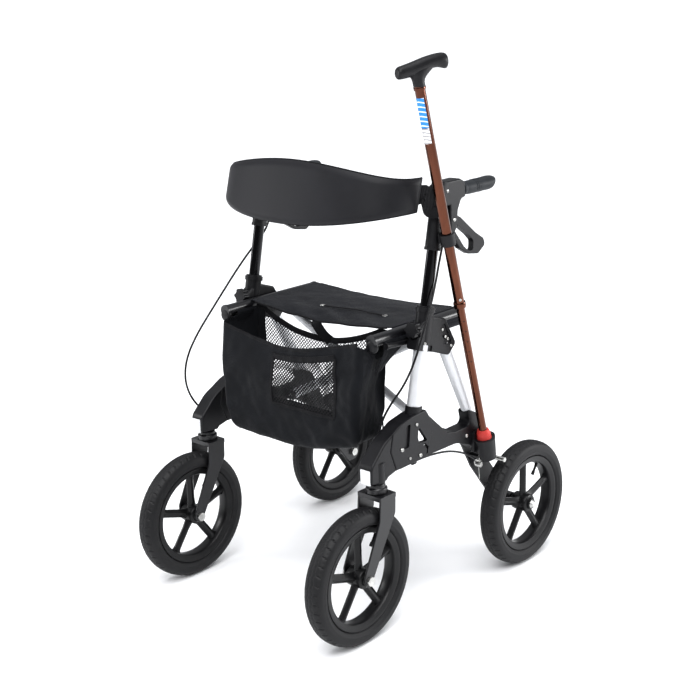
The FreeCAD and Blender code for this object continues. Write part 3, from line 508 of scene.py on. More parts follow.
def tread_depth(across, turn_share, half_width):
    """How deep the tread's grooves are at a place across and round the tyre."""
    side = 1 if across > 0 else -1
    reach = abs(across) / half_width
    phase = turn_share * TREAD_PITCHES + (0.5 if side > 0 else 0)
    saw = abs((phase % 1) - 0.5) * 2
    depth = 0.0
    zigzag = 0.20 + 0.07 * (saw * 2 - 1)
    if abs(reach - zigzag) < 0.045:
        depth = 0.0013
    if 0.42 < reach < 0.80:
        lean = (phase + 0.35 * reach) % 1
        if lean < 0.14:
            depth = 0.0019
        elif 0.48 < lean < 0.56 and reach > 0.6:
            depth = 0.0010
    if 0.38 < reach <= 0.42:
        depth = 0.0014
    return depth


def tyre(label):
    """Pneumatic tyre with a zigzag centre, shoulder blocks and sidewall rings."""
    node = label + "_tyre"
    low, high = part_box(node)
    centre = (low + high) / 2
    outer, half = (high.z - low.z) / 2, (high.x - low.x) / 2
    wall = 0.0193
    core = outer - wall
    verts = []
    for n in range(TYRE_STEPS):
        angle = 2 * math.pi * n / TYRE_STEPS
        out = Vector((0, math.sin(angle), math.cos(angle)))
        for k in range(TYRE_SECTION):
            swing = math.radians(-148 + 296 * k / (TYRE_SECTION - 1))
            c, s = math.cos(swing), math.sin(swing)
            rise = signed_power(c, 0.84)
            across = half * signed_power(s, 0.84)
            radius = core + wall * rise
            if rise > 0.25:
                radius -= tread_depth(across, n / TYRE_STEPS, half) * min(1, (rise - 0.25) * 4)
            for ring_radius in (0.126, 0.1185):
                if rise < 0.1 and abs(radius - ring_radius) < 0.0011:
                    across += math.copysign(0.0006, across)
            verts.append(centre + out * radius + X * across)
    faces = grid_faces(TYRE_STEPS, TYRE_SECTION, wrap_rows=True, wrap_columns=True)
    piece(node + "_treaded", (verts, faces), label, "tyre", replaces=(node,))


def spoke(work, centre, angle, inner, outer, width, depth):
    """One ridged spoke that flares into the hub and the ring."""
    out = Vector((0, math.sin(angle), math.cos(angle)))
    side = Vector((0, math.cos(angle), -math.sin(angle)))
    rings = []
    for k in range(13):
        share = k / 12
        radius = inner + (outer - inner) * share
        flare = 1 + 0.55 * max(0, (share - 0.86) / 0.14) ** 1.6 + 0.25 * max(0, 0.2 - share) * 5
        w = width / 2 * flare
        d = depth / 2
        section = [(w, 0.25 * d), (w, -0.25 * d), (0.62 * w, -0.62 * d), (0.26 * w, -d),
                   (-0.26 * w, -d), (-0.62 * w, -0.62 * d), (-w, -0.25 * d), (-w, 0.25 * d),
                   (-0.62 * w, 0.62 * d), (-0.26 * w, d), (0.26 * w, d), (0.62 * w, 0.62 * d)]
        rings.append([centre + out * radius + side * a + X * b for a, b in section])
    add_skin(work, loft(rings))


def rim(label):
    """Five-spoke moulded rim with its hub, valve and bead flanges."""
    node = label + "_rim"
    low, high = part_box(node)
    centre = (low + high) / 2
    work = bmesh.new()
    ring = [(0.0990, -0.0125), (0.1005, -0.0150), (0.1080, -0.0172), (0.1125, -0.0186),
            (0.1145, -0.0184), (0.1148, -0.0165), (0.1118, -0.0150), (0.1105, -0.0140),
            (0.1105, 0.0140), (0.1118, 0.0150), (0.1148, 0.0165), (0.1145, 0.0184),
            (0.1125, 0.0186), (0.1080, 0.0172), (0.1005, 0.0150), (0.0990, 0.0125),
            (0.0978, 0.0090), (0.0972, 0.0030), (0.0972, -0.0030), (0.0978, -0.0090)]
    hub = [(0.0062, -0.0270), (0.0125, -0.0270), (0.0135, -0.0262), (0.0140, -0.0215),
           (0.0200, -0.0200), (0.0212, -0.0185), (0.0218, -0.0100), (0.0222, 0.0),
           (0.0218, 0.0100), (0.0212, 0.0185), (0.0200, 0.0200), (0.0140, 0.0215),
           (0.0135, 0.0262), (0.0125, 0.0270), (0.0062, 0.0270)]
    for profile, steps in ((ring, 144), (hub, 48)):
        add_skin(work, revolve(profile, centre, steps))
    for n in range(5):
        spoke(work, centre, math.radians(72 * n), 0.0185, 0.0995, 0.0190, 0.0160)
    settle(bpy.data.objects.new(node + "_moulded", mesh_from(work, node)), label, "rim_black",
           replaces=(node,))
    valve_angle = math.radians(36)
    out = Vector((0, math.sin(valve_angle), math.cos(valve_angle)))
    stem = [(0.0036, 0.0), (0.0036, -0.006), (0.0030, -0.008), (0.0030, -0.020),
            (0.0040, -0.0205), (0.0040, -0.0285), (0.0030, -0.0295), (0.00001, -0.0295)]
    piece(label + "_valve", revolve(stem, centre + out * 0.0975, 16, out, X, closed=False),
          label, "cable_black")


def hub_cap(label):
    """Round dust cover on each face of a hub."""
    centre = middle(label + "_rim")
    for n, hand in enumerate((-1, 1)):
        profile = [(0.0063, 0.0262), (0.0100, 0.0266), (0.0112, 0.0252), (0.0114, 0.0235)]
        piece("%s_dust_cover_%d" % (label, n),
              revolve(profile, centre, 40, X * hand, Z, closed=False), label, "steel")


def all_wheels():
    for side in SIDES:
        for end in ("front", "rear"):
            label = "%s_wheel_%s" % (end, side)
            tyre(label)
            rim(label)
            hub_cap(label)


# ------------------------------------------------------- handles and cane

def grip(side):
    """Ergonomic rubber grip: ringed collar, waist, and a flared, slanted palm end."""
    low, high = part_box("grip_" + side)
    axis = Vector(((low.x + high.x) / 2, low.y, (low.z + high.z) / 2))
    length = high.y - low.y
    stations = [(0.0, 13.0, 13.0, 0), (0.015, 15.6, 15.6, 0), (0.07, 15.8, 15.8, 0),
                (0.085, 13.4, 13.4, 0), (0.115, 13.4, 13.4, 0), (0.14, 14.6, 14.4, 0),
                (0.26, 15.6, 15.0, 0), (0.42, 16.2, 14.6, 0.2), (0.56, 17.0, 14.4, 0.6),
                (0.70, 18.6, 14.8, 1.2), (0.82, 20.0, 15.2, 1.6), (0.92, 19.0, 14.6, 1.4),
                (0.975, 15.4, 12.0, 0.8), (1.0, 9.0, 7.5, 0.4), (1.004, 2.0, 2.0, 0.2)]
    rings = []
    for share, wide, tall, rise in stations:
        ring = []
        power = 0.9 if share > 0.3 else 1.0
        for c, s in circle(36):
            u = signed_power(c, power) * wide * MM
            v = signed_power(s, power) * tall * MM
            slant = 0.020 * max(0, share - 0.7) / 0.3 * (s - 1) / 2
            ring.append(axis + Vector((u, length * share + slant, v + rise * MM)))
        rings.append(ring)
    obj = piece("grip_%s_moulded" % side, loft(rings), "post_" + side, "grip_rubber",
                replaces=("grip_" + side,))
    soften(obj, 1)
    for n in range(5):
        y = axis.y + length * (0.36 + 0.05 * n)
        centre = Vector((axis.x, y, axis.z + 0.0006))
        profile = [(0.0165, -0.0011), (0.0171, 0.0), (0.0165, 0.0011)]
        verts, faces = revolve(profile, centre, 40, Y, Z, closed=False)
        verts = [Vector((v.x, v.y, centre.z + (v.z - centre.z) * 0.885)) for v in verts]
        piece("grip_%s_rib_%d" % (side, n), (verts, faces), "post_" + side, "grip_rubber")


def soften(obj, levels):
    """Apply a subdivision surface to a piece's mesh."""
    modifier = obj.modifiers.new("soften", "SUBSURF")
    modifier.levels = levels
    modifier.render_levels = levels
    bake_modifiers(obj)


def bake_modifiers(obj):
    """Replace a piece's mesh with its evaluated one and drop the modifiers."""
    graph = bpy.context.evaluated_depsgraph_get()
    made = bpy.data.meshes.new_from_object(obj.evaluated_get(graph))
    obj.modifiers.clear()
    obj.data = made


def cane_handle():
    """Derby handle with its neck, collar ring and nose disc."""
    top = cane_axis(0.872)
    heading = math.radians(70)
    along = Vector((math.cos(heading), math.sin(heading), 0))
    side = along.cross(Z)
    stations = [(-48.5, 1, 5, 5), (-47.5, 1, 10, 10), (-45.5, 1.2, 11, 11.2),
                (-44.5, 1.2, 12.2, 12.6), (-36, 2.5, 12.8, 13.4), (-24, 5, 13.4, 14),
                (-10, 8, 13.8, 15), (4, 12, 13.8, 15.5), (18, 17, 13.4, 14.5),
                (32, 21, 13.2, 13.4), (46, 22.5, 13.4, 14), (56, 21.5, 13, 15.4),
                (62, 20, 11.8, 15.4), (66, 18.5, 9, 12.5), (67.5, 18, 3, 5)]
    rings = []
    for at, rise, wide, tall in stations:
        centre = top + along * (at * MM) + Z * ((rise + 12) * MM)
        rings.append([centre + side * (c * wide * MM) + Z * (s * tall * MM)
                      for c, s in circle(32)])
    obj = piece("cane_handle_derby", loft(rings), "cane", "black_plastic",
                replaces=("cane_handle",))
    soften(obj, 1)
    sections = [(-16, 0, 11.9, 11.9), (-12, 0, 12.3, 12.3), (-6, 0, 12.4, 12.3),
                (0, 0.5, 14, 12.3), (5, 1.5, 18, 12.2), (10, 3.5, 24, 12), (15, 6, 31, 11.6),
                (20, 9, 38, 10.5), (24, 11, 42, 8)]
    rings = []
    for height, shift, reach, wide in sections:
        ring = []
        for c, s in circle(40):
            at = shift + reach * c
            lift = height + max(0, height) * at / 110
            ring.append(top + along * (at * MM) + side * (s * wide * MM)
                        + CANE_UP * (lift * MM))
        rings.append(ring)
    piece("cane_handle_neck", loft(rings), "cane", "black_plastic")
    ring = [(0.0112, 0.0), (0.0127, 0.0), (0.0130, 0.002), (0.0127, 0.005), (0.0112, 0.005)]
    piece("cane_neck_ring", revolve(ring, cane_axis(0.8515), 40, CANE_UP, X), "cane",
          "bronze_tube")


def cane_details():
    """Collar, snap buttons, adjusting holes drawn as dark discs of painted shade, labels, and the
    ribbed rubber tip.
    """
    collar = [(0.0112, 0.0), (0.0128, 0.0), (0.0136, 0.0015), (0.0136, 0.0110),
              (0.0128, 0.0130), (0.0112, 0.0130)]
    piece("cane_collar", revolve(collar, cane_axis(0.366), 48, CANE_UP, X), "cane",
          "bronze_tube")
    toward = Vector((0.80, -0.60, 0))
    toward = (toward - CANE_UP * toward.dot(CANE_UP)).normalized()
    bolt("cane_snap_button", cane_axis(0.388) + toward * 0.0108, toward, 0.0032, 0.0026, "cane")
    # Adjusting holes: flush dark discs, painted shade standing in for the hollow inside each hole.
    for n in range(5):
        at = cane_axis(0.335 - 0.025 * n) + toward * 0.0090
        bolt("cane_hole_shade_%d" % n, at, toward, 0.0019, 0.0002, "cane_lower", slot="cable_black")
    cane_label("cane_label_blue", 0.774, 0.836, EXTRA["blue_label"])
    cane_label("cane_label_white", 0.741, 0.773, EXTRA["white_label"])
    tip = [(0.00001, 0.0), (0.0150, 0.0), (0.0170, 0.0016), (0.0172, 0.0060), (0.0164, 0.0085),
           (0.0172, 0.0110), (0.0172, 0.0300), (0.0168, 0.0350), (0.0160, 0.0380),
           (0.0165, 0.0410), (0.0158, 0.0450), (0.0140, 0.0500), (0.0125, 0.0535),
           (0.0094, 0.0545)]
    piece("cane_tip_ribbed", revolve(tip, cane_axis(0), 56, CANE_UP, X, closed=False),
          "cane_lower", "red_rubber", replaces=("cane_tip",))


def cane_label(name, start, end, material):
    """A printed film wrapped over the front of the cane's upper tube."""
    low_side = Vector((1, 0, 0))
    front = low_side.cross(CANE_UP)
    rows, columns = 12, 22
    verts = []
    for r in range(rows):
        along = start + (end - start) * r / (rows - 1)
        for c in range(columns):
            angle = math.radians(28 + 100 * c / (columns - 1))
            out = low_side * math.cos(angle) + front * math.sin(angle)
            verts.append(cane_axis(along) + out * 0.01118)
    piece(name, (verts, grid_faces(rows, columns)), "cane", "bronze_tube", material)


# -------------------------------------------------------------- brake cables

CABLE_LEFT = [(264, 34, 840), (264, 26, 806), (267, 10, 772), (277, -14, 738), (286, -40, 700),
              (289, -66, 655), (288, -86, 612), (282, -104, 568), (270, -122, 528),
              (252, -140, 494), (239, -156, 456), (238, -172, 412), (238, -176, 378),
              (245, -161, 349), (260, -132, 346), (268, -104, 352)]
CABLE_LEFT_TAIL = [(268, -58, 352), (270, -20, 350), (276, 22, 346), (284, 60, 334),
                   (286, 92, 316), (284, 118, 298), (283, 129, 291.4)]
CABLE_RIGHT = [(-264, 34, 840), (-265, 26, 806), (-273, 8, 776), (-280, -28, 744),
               (-283, -72, 704), (-287, -114, 660), (-289, -158, 616), (-290, -202, 572),
               (-291, -236, 524), (-291, -246, 476), (-290, -236, 434), (-289, -212, 398),
               (-288, -182, 370), (-287, -152, 352), (-279, -130, 349), (-268, -112, 352)]


def cable_mesh(name, points, radius):
    """A mesh tube along the smooth spline that the route's points control."""
    curve = bpy.data.curves.new(name, "CURVE")
    curve.dimensions = "3D"
    curve.bevel_depth = radius
    curve.bevel_resolution = 4
    curve.use_fill_caps = True
    spline = curve.splines.new("NURBS")
    spline.points.add(len(points) - 1)
    for target, place in zip(spline.points, points):
        target.co = (*mm(*place), 1)
    spline.order_u = 3
    spline.use_endpoint_u = True
    spline.resolution_u = 12
    holder = bpy.data.objects.new(name + "_curve", curve)
    show(holder)
    bpy.context.view_layer.update()
    graph = bpy.context.evaluated_depsgraph_get()
    mesh = bpy.data.meshes.new_from_object(holder.evaluated_get(graph))
    bpy.data.objects.remove(holder)
    return bpy.data.objects.new(name, mesh)


def brake_cable(side):
    """Brake cable held between the handle head and the brake arm, with its end ferrules."""
    flip = SIDES[side]
    front = CABLE_LEFT if side == "left" else CABLE_RIGHT
    tail = [(flip * x, y, z) for x, y, z in CABLE_LEFT_TAIL]
    obj = cable_mesh("brake_cable_%s_casing" % side, front + tail, 0.0024)
    settle(obj, None, "cable_black", replaces=("brake_cable_" + side,))
    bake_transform(obj)
    for n, (a, b, body) in enumerate(((front[0], front[1], "post_" + side),
                                      (tail[-1], tail[-2], "frame_" + side))):
        start = mm(*a)
        way = (mm(*b) - start).normalized()
        sleeve = [(0.0026, -0.001), (0.0036, 0.0), (0.0036, 0.012), (0.0030, 0.014),
                  (0.0025, 0.020)]
        piece("cable_ferrule_%s_%d" % (side, n),
              revolve(sleeve, start, 20, way, way.orthogonal().normalized(), closed=False),
              body, "steel")


# ---------------------------------------------------------------- backrest

BACK_HALF, BACK_BOW, BACK_POWER = 0.2562, 0.1349, 2.62


def backrest_point(u, v, pad):
    """Point of the backrest; u runs right to left, v bottom to top, pad 1 front to -1 rear."""
    turn = (u - 0.5) * math.pi
    x_share = signed_power(math.sin(turn), 2 / BACK_POWER)
    y_share = abs(math.cos(turn)) ** (2 / BACK_POWER)
    x, y = x_share * BACK_HALF, -0.0433 - y_share * BACK_BOW
    share = 1 - abs(x_share) ** 1.9
    top, bottom = 0.9586 + 0.036 * share, 0.8907 - 0.026 * share
    z = bottom + (top - bottom) * v
    y += (z - 0.915) * 0.28
    out = Vector((math.copysign(abs(x_share) ** (BACK_POWER - 1) / BACK_HALF, x),
                  -y_share ** (BACK_POWER - 1) / BACK_BOW, 0)).normalized()
    edge = min(1.0, min(v, 1 - v) * (top - bottom) / 0.012, min(u, 1 - u) * 0.9 / 0.016)
    crown = math.sin(edge * math.pi / 2) ** 0.8
    return Vector((x, y, z)) + out * ((0.0030 + 0.0050 * crown) * pad)


def backrest():
    """Padded band with a welt round its edge."""
    columns, rows = 110, 30
    rings = []
    for c in range(columns):
        u = c / (columns - 1)
        ring = [backrest_point(u, r / (rows - 1), 1) for r in range(rows)]
        ring += [backrest_point(u, r / (rows - 1), -1) for r in reversed(range(rows))]
        rings.append(ring)
    obj = piece("backrest_cover", loft(rings), None, "backrest_vinyl",
                replaces=("backrest_pad",))
    follow_fold(obj, "post_left")
    border = [backrest_point(c / 60, 1, 0) for c in range(61)]
    border += [backrest_point(1, 1 - r / 12, 0) for r in range(1, 13)]
    border += [backrest_point(1 - c / 60, 0, 0) for c in range(1, 61)]
    border += [backrest_point(0, r / 12, 0) for r in range(1, 12)]
    welt = piece("backrest_welt", closed_tube(border, 0.0024, 8), None, "backrest_vinyl",
                 EXTRA["binding"])
    follow_fold(welt, "post_left")


def closed_tube(route, radius, sides):
    """Skin of a round tube along a closed route."""
    verts = []
    count = len(route)
    for i, point in enumerate(route):
        ahead = (route[(i + 1) % count] - route[i - 1]).normalized()
        side = ahead.cross(Y).normalized()
        up = ahead.cross(side)
        verts += [point + side * (radius * c) + up * (radius * s) for c, s in circle(sides)]
    return verts, grid_faces(count, sides, wrap_rows=True, wrap_columns=True)


def follow_fold(obj, body):
    """Ride on a body, with a mesh of its own."""
    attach(obj, body)
    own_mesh(obj)


def backrest_straps():
    """Ribbed webbing from each end of the backrest round the post sleeve."""
    for side, flip in SIDES.items():
        end = backrest_point(1 if flip > 0 else 0, 0.5, 0)
        post = main_axis(0.902)
        post.x *= flip
        route = smooth_route([end + Vector((-flip * 0.030, -0.013, -0.004)),
                              end + Vector((-flip * 0.004, -0.002, -0.002)),
                              end + Vector((flip * 0.006, 0.016, 0.0)),
                              post + Vector((flip * 0.002, -0.030, -0.010)),
                              post + Vector((flip * 0.012, -0.021, -0.014)),
                              post + Vector((flip * 0.0185, -0.004, -0.018))], 6)
        verts, faces = strip(route, 0.036, 0.0042, Z)
        for i in range(len(verts)):
            ring = i // 12
            if ring % 3 == 0:
                verts[i] = verts[i] + (verts[i] - route[ring]) * 0.05
        piece("backrest_strap_" + side, (verts, faces), "post_" + side, "backrest_vinyl",
              EXTRA["webbing"])


# --------------------------------------------------------- seat and bag

RAIL_X = middle("seat_rail_left").x
SEAT_LOW, SEAT_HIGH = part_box("seat_sling")


def seat_point(u, v):
    """Point of the seat's top surface; u runs right to left, v front to rear."""
    half = 0.2155
    x = (2 * u - 1) * half
    front, rear = SEAT_LOW.y + 0.002, SEAT_HIGH.y - 0.002
    y = front + (rear - front) * v
    share = 1 - (x / half) ** 2
    sag = 0.007 * share + 0.006 * share * (2 * v - 1) ** 4
    ripple = 0.0022 * noise.noise(Vector((x * 9, y * 17, 0.3)))
    ripple += 0.0016 * math.sin(x * 60 + y * 95) * math.exp(-((v - 0.1) / 0.3) ** 2) * share
    ripple += 0.0012 * noise.noise(Vector((x * 30, y * 36, 2.0)))
    y -= 0.010 * share * (1 - 2 * v) * abs(1 - 2 * v)
    return Vector((x, y, 0.6445 - sag + ripple * min(1, share * 3)))


def seat():
    """Fabric sling between the rails, with hems and sleeves round the rails."""
    columns, rows = 120, 56
    rail_z = middle("seat_rail_left").z
    radius = 0.0150
    grid = []
    wrap = 16
    for r in range(rows):
        v = r / (rows - 1)
        row = []
        for n in range(wrap):
            angle = math.radians(-205 + 205 * n / wrap)
            row.append(Vector((-RAIL_X + radius * math.sin(angle),
                               seat_point(0, v).y, rail_z + radius * math.cos(angle))))
        row += [seat_point(c / (columns - 1), v) for c in range(columns)]
        for n in range(1, wrap + 1):
            angle = math.radians(205 * n / wrap)
            row.append(Vector((RAIL_X + radius * math.sin(angle),
                               seat_point(1, v).y, rail_z + radius * math.cos(angle))))
        grid.append(row)
    width = len(grid[0])
    verts = [p for row in grid for p in row]
    obj = piece("seat_cloth", (verts, grid_faces(rows, width)), None, "seat_fabric",
                replaces=("seat_sling",))
    solidify(obj, 0.0016)
    follow_fold_seat(obj)
    for name, v in (("front", 0.0), ("rear", 1.0)):
        inner = 0.055 if name == "front" else 0.945
        route = [seat_point(0.03 + 0.94 * c / 60, v) - Z * 0.0004 for c in range(61)]
        follow_fold_seat(piece("seat_hem_" + name, strip(route, 0.004, 0.0042, Z), None,
                               "seat_fabric", EXTRA["binding"]))
        stitches("seat_stitch_" + name, [seat_point(c / 120, inner) for c in range(121)],
                 Z * 0.0006, follow_fold_seat)
    strap_ends = [mm(-56, -15, 0), mm(127, -8, 0)]
    route = []
    for n in range(25):
        share = n / 24
        flat = strap_ends[0].lerp(strap_ends[1], share)
        u = (flat.x / 0.2155 + 1) / 2
        v = (flat.y - SEAT_LOW.y) / (SEAT_HIGH.y - SEAT_LOW.y)
        lift = 0.002 + 0.0035 * math.sin(math.pi * share)
        route.append(seat_point(u, v) + Z * lift)
    follow_fold_seat(piece("seat_pull_strap", strip(route, 0.0045, 0.0018, Y), None,
                           "seat_fabric", EXTRA["webbing"]))
    for n, end in enumerate((route[0], route[-1])):
        ring = [(0.0028, 0.0), (0.0060, 0.0), (0.0066, 0.0010), (0.0058, 0.0020),
                (0.0036, 0.0016)]
        follow_fold_seat(piece("seat_eyelet_%d" % n, revolve(ring, end - Z * 0.001, 28, Z, X),
                               None, "steel"))


def follow_fold_seat(obj):
    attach(obj, "rail_left")
    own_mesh(obj)


def solidify(obj, thickness):
    """Apply an even thickness to a sheet."""
    modifier = obj.modifiers.new("thickness", "SOLIDIFY")
    modifier.thickness = thickness
    modifier.offset = 0
    bake_modifiers(obj)


def stitches(name, route, lift, ride_on):
    """A row of short thread stitches along a route."""
    verts, faces = [], []
    for i in range(0, len(route) - 1, 2):
        a, b = route[i] + lift, route[i].lerp(route[i + 1], 0.75) + lift
        start = len(verts)
        ring_verts, ring_faces = round_tube([a, a.lerp(b, 0.5) + lift * 0.6, b], 0.00035, 6)
        verts += ring_verts
        faces += [tuple(start + i for i in face) for face in ring_faces]
    ride_on(piece(name, (verts, faces), None, "seat_fabric", EXTRA["net"]))


BAG_HALF = 0.2165
BAG_ROWS = 84
RUNS = {"long": 96, "corner": 8, "short": 30}
WINDOW = (-0.046, 0.142)
WINDOW_FLOOR, WINDOW_BAND = 0.455, 0.027
NET_PITCH = 0.0088


def bag_rim(x, front):
    """Height of the bag's rim, which sags between its ends."""
    if front:
        return 0.582 + 0.040 * (abs(x + 0.030) / 0.22) ** 1.6
    return min(0.630, 0.586 + 0.031 * (x / 0.149) ** 2)


def bag_floor(x):
    """Height of the bag's floor, which is drawn up towards the left end."""
    return 0.350 + 0.046 * (max(0.0, x + 0.02) / 0.22) ** 1.5


def bag_half(hand, s):
    """Half width of the bag at a share of its height."""
    return BAG_HALF - (0.024 if hand > 0 else 0.007) * (1 - s) ** 2


def bag_folds(x, z, seed):
    """Soft diagonal creases of the fabric, stronger towards the left end."""
    near = 0.8 + 0.9 / (1 + math.exp(-(x - 0.10) * 28))
    fold = 0.0068 * noise.noise(Vector((x * 8 + z * 9, z * 8 - x * 5, seed)))
    fold += 0.0056 * noise.noise(Vector((x * 16 - z * 13, z * 12 + x * 6, seed + 4)))
    fold += 0.0024 * noise.noise(Vector((x * 34 + z * 22, z * 30 - x * 24, seed + 9)))
    return fold * near


def bag_inset(s):
    """How far the rounded bottom edge lies inside the panel."""
    q = min(1.0, s / 0.10)
    return 0.022 * (1 - math.sqrt(max(0.0, 1 - (1 - q) ** 2)))


def bag_front(x, s):
    """Point of the front panel; s runs 0 at the floor to 1 at the rim."""
    z = bag_floor(x) + (bag_rim(x, True) - bag_floor(x)) * s
    y = -0.176 - 0.024 * math.sin(math.pi * min(1, 0.12 + s * 0.74)) + bag_inset(s)
    return Vector((x, y + bag_folds(x, z, 1.0), z))


def bag_back(x, s):
    """Point of the rear panel."""
    floor = bag_floor(x) + 0.003
    z = floor + (bag_rim(x, False) - floor) * s
    y = -0.094 + 0.010 * s - bag_inset(s)
    return Vector((x, y + 0.7 * bag_folds(x, z, 7.0), z))


def bag_side(hand, t, s):
    """Point of a side panel; t runs 0 at the front to 1 at the rear."""
    half = bag_half(hand, s)
    front, back = bag_front(hand * half, s), bag_back(hand * half, s)
    top = 0.616 + 0.006 * t
    z = bag_floor(hand * half) + (top - bag_floor(hand * half)) * s
    tuck = 0.034 * math.sin(math.pi * min(1, s * 0.95)) ** 1.3 * t ** 1.4
    x = hand * (half - tuck + 0.6 * bag_folds(front.y * 2 + t * 0.2, z, 12.0 + hand)
                - bag_inset(s))
    return Vector((x, front.y + (back.y - front.y) * t, z))


def bag_ring(s):
    """Closed ring of points round the bag at a share of its height."""
    ring = []
    for hand, surface in ((1, bag_front), (-1, bag_back)):
        low, high = -hand * (bag_half(-hand, s) - 0.016), hand * (bag_half(hand, s) - 0.016)
        ring += [surface(low + (high - low) * n / RUNS["long"], s) for n in range(RUNS["long"])]
        side = [bag_side(hand, share if hand > 0 else 1 - share, s)
                for share in (0.14 + 0.72 * n / RUNS["short"] for n in range(RUNS["short"] + 1))]
        ring += round_corner(surface(high, s), side[0])
        ring += side[:-1]
        other = bag_back if hand > 0 else bag_front
        ring += round_corner(other(high, s), side[-1])[::-1]
    return ring


def round_corner(flat, side):
    """Points of a quarter round from the end of a long panel to a side panel."""
    points = []
    for n in range(RUNS["corner"]):
        share = (n + 0.5) / RUNS["corner"]
        angle = math.pi / 2 * share
        points.append(Vector((flat.x + (side.x - flat.x) * math.sin(angle),
                              flat.y + (side.y - flat.y) * (1 - math.cos(angle)),
                              flat.z + (side.z - flat.z) * share)))
    return points


def in_window(p):
    """Whether a place of the cloth is open: the front window or the rear net."""
    if p.y < -0.135:
        return (WINDOW[0] < p.x < WINDOW[1]
                and WINDOW_FLOOR < p.z < bag_rim(p.x, True) - WINDOW_BAND)
    return abs(p.x) < 0.175 and p.y > -0.125 and 0.42 < p.z < bag_rim(p.x, False) - 0.008


def net(name, surface, front, low_x, high_x, low_z, margin):
    """A net of diamond meshes over part of a long panel."""
    work = bmesh.new()
    made = {}

    def corner(i, j):
        if (i, j) not in made:
            x, z = low_x + i * NET_PITCH / 2, low_z + j * NET_PITCH / 2
            share = (z - bag_floor(x)) / (bag_rim(x, front) - bag_floor(x))
            made[(i, j)] = work.verts.new(surface(x, min(1, share)))
        return made[(i, j)]

    for i in range(1, int((high_x - low_x) / NET_PITCH * 2)):
        for j in range(1, int(0.25 / NET_PITCH * 2)):
            x, z = low_x + i * NET_PITCH / 2, low_z + j * NET_PITCH / 2
            if (i + j) % 2 == 0 and z < bag_rim(x, front) - margin:
                work.faces.new([corner(i - 1, j), corner(i, j - 1), corner(i + 1, j),
                                corner(i, j + 1)])
    bmesh.ops.wireframe(work, faces=work.faces[:], thickness=0.0022, use_boundary=True,
                        use_even_offset=True, use_replace=True)
    follow_fold_bag(settle(bpy.data.objects.new(name, mesh_from(work, name)), None,
                           "bag_fabric", EXTRA["net"], smooth=False))


def follow_fold_bag(obj):
    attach(obj, "frame_left")
    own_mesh(obj)


def bag():
    """Shopping bag: soft shell with a front window, nets, bound rims and hanging sleeves."""
    rings = [bag_ring(r / (BAG_ROWS - 1)) for r in range(BAG_ROWS)]
    count = len(rings[0])
    spine = [Vector((p.x * 0.86, -0.138, p.z - 0.004)) for p in rings[0]]
    inner = [[p.lerp(q, k / 6) for p, q in zip(rings[0], spine)] for k in range(6, 0, -1)]
    rings = inner + rings
    verts = [p for ring in rings for p in ring]
    faces = []
    for face in grid_faces(len(rings), count, wrap_columns=True):
        centre = sum((verts[i] for i in face), Vector()) / 4
        if face[0] < 6 * count or not in_window(centre):
            faces.append(face)
    shell = piece("bag_shell", (verts, faces), None, "bag_fabric", replaces=("bag",))
    solidify(shell, 0.0014)
    follow_fold_bag(shell)
    net("bag_front_net", bag_front, True, WINDOW[0] - 0.004, WINDOW[1] + 0.004,
        WINDOW_FLOOR - 0.004, WINDOW_BAND - 0.004)
    net("bag_back_net", bag_back, False, -0.178, 0.178, 0.415, 0.006)
    bag_tapes()
    bag_sleeves()
    middle_strap()


def bag_tapes():
    """Binding tape round the rims, the window and down the corners."""
    steps = 60
    spread = [(2 * n / steps - 1) * 0.205 for n in range(steps + 1)]
    band = [WINDOW[0] + (WINDOW[1] - WINDOW[0]) * n / 30 for n in range(31)]

    def on_front(x, z):
        share = (z - bag_floor(x)) / (bag_rim(x, True) - bag_floor(x))
        return bag_front(x, share) - Y * 0.0010

    routes = {
        "bag_rim_front": ([bag_front(x, 1) for x in spread], 0.009, Z),
        "bag_rim_back": ([bag_back(x, 1) for x in spread], 0.011, Z),
        "bag_band_top": ([on_front(x, bag_rim(x, True) - 0.020) for x in band], 0.012, Z),
        "bag_window_foot": ([on_front(x, WINDOW_FLOOR) for x in band], 0.008, Z),
    }
    for n, x in enumerate(WINDOW):
        top = bag_rim(x, True) - WINDOW_BAND + 0.004
        routes["bag_window_edge_%d" % n] = (
            [on_front(x, WINDOW_FLOOR + (top - WINDOW_FLOOR) * k / 24) for k in range(25)],
            0.008, X)
    for side, flip in SIDES.items():
        routes["bag_rear_piping_" + side] = ([bag_side(flip, 0.98, n / 40)
                                              for n in range(41)], 0.005, Y)
    for name, (route, wide, across) in routes.items():
        follow_fold_bag(piece(name, strip(route, wide, 0.0030, across), None, "bag_fabric",
                              EXTRA["binding"]))


def bag_sleeves():
    """Cloth sleeves that hang each end of the bag from a seat rail."""
    for side, flip in SIDES.items():
        rail = middle("seat_rail_" + side)
        section = [(-0.0095, -0.062), (-0.0010, -0.040), (0.0085, -0.022), (0.0138, -0.008)]
        section += [(0.0148 * math.cos(a), 0.0148 * math.sin(a))
                    for a in (math.radians(-20 + 20 * n) for n in range(12))]
        section += [(-0.0128, -0.012), (-0.0115, -0.034)]
        rows = 22
        verts = []
        for r in range(rows):
            share = r / (rows - 1)
            swell = 1 + 0.04 * noise.noise(Vector((share * 4, flip * 3, 0.5)))
            for u, w in section:
                reach = 0.062 + 0.9 * min(0, w + 0.010)
                verts.append(Vector((rail.x + flip * u * swell, -0.140 + reach * share,
                                     rail.z + w * swell)))
        obj = piece("bag_sleeve_" + side, (verts, grid_faces(rows, len(section))), None,
                    "bag_fabric")
        solidify(obj, 0.0014)
        follow_fold_bag(obj)


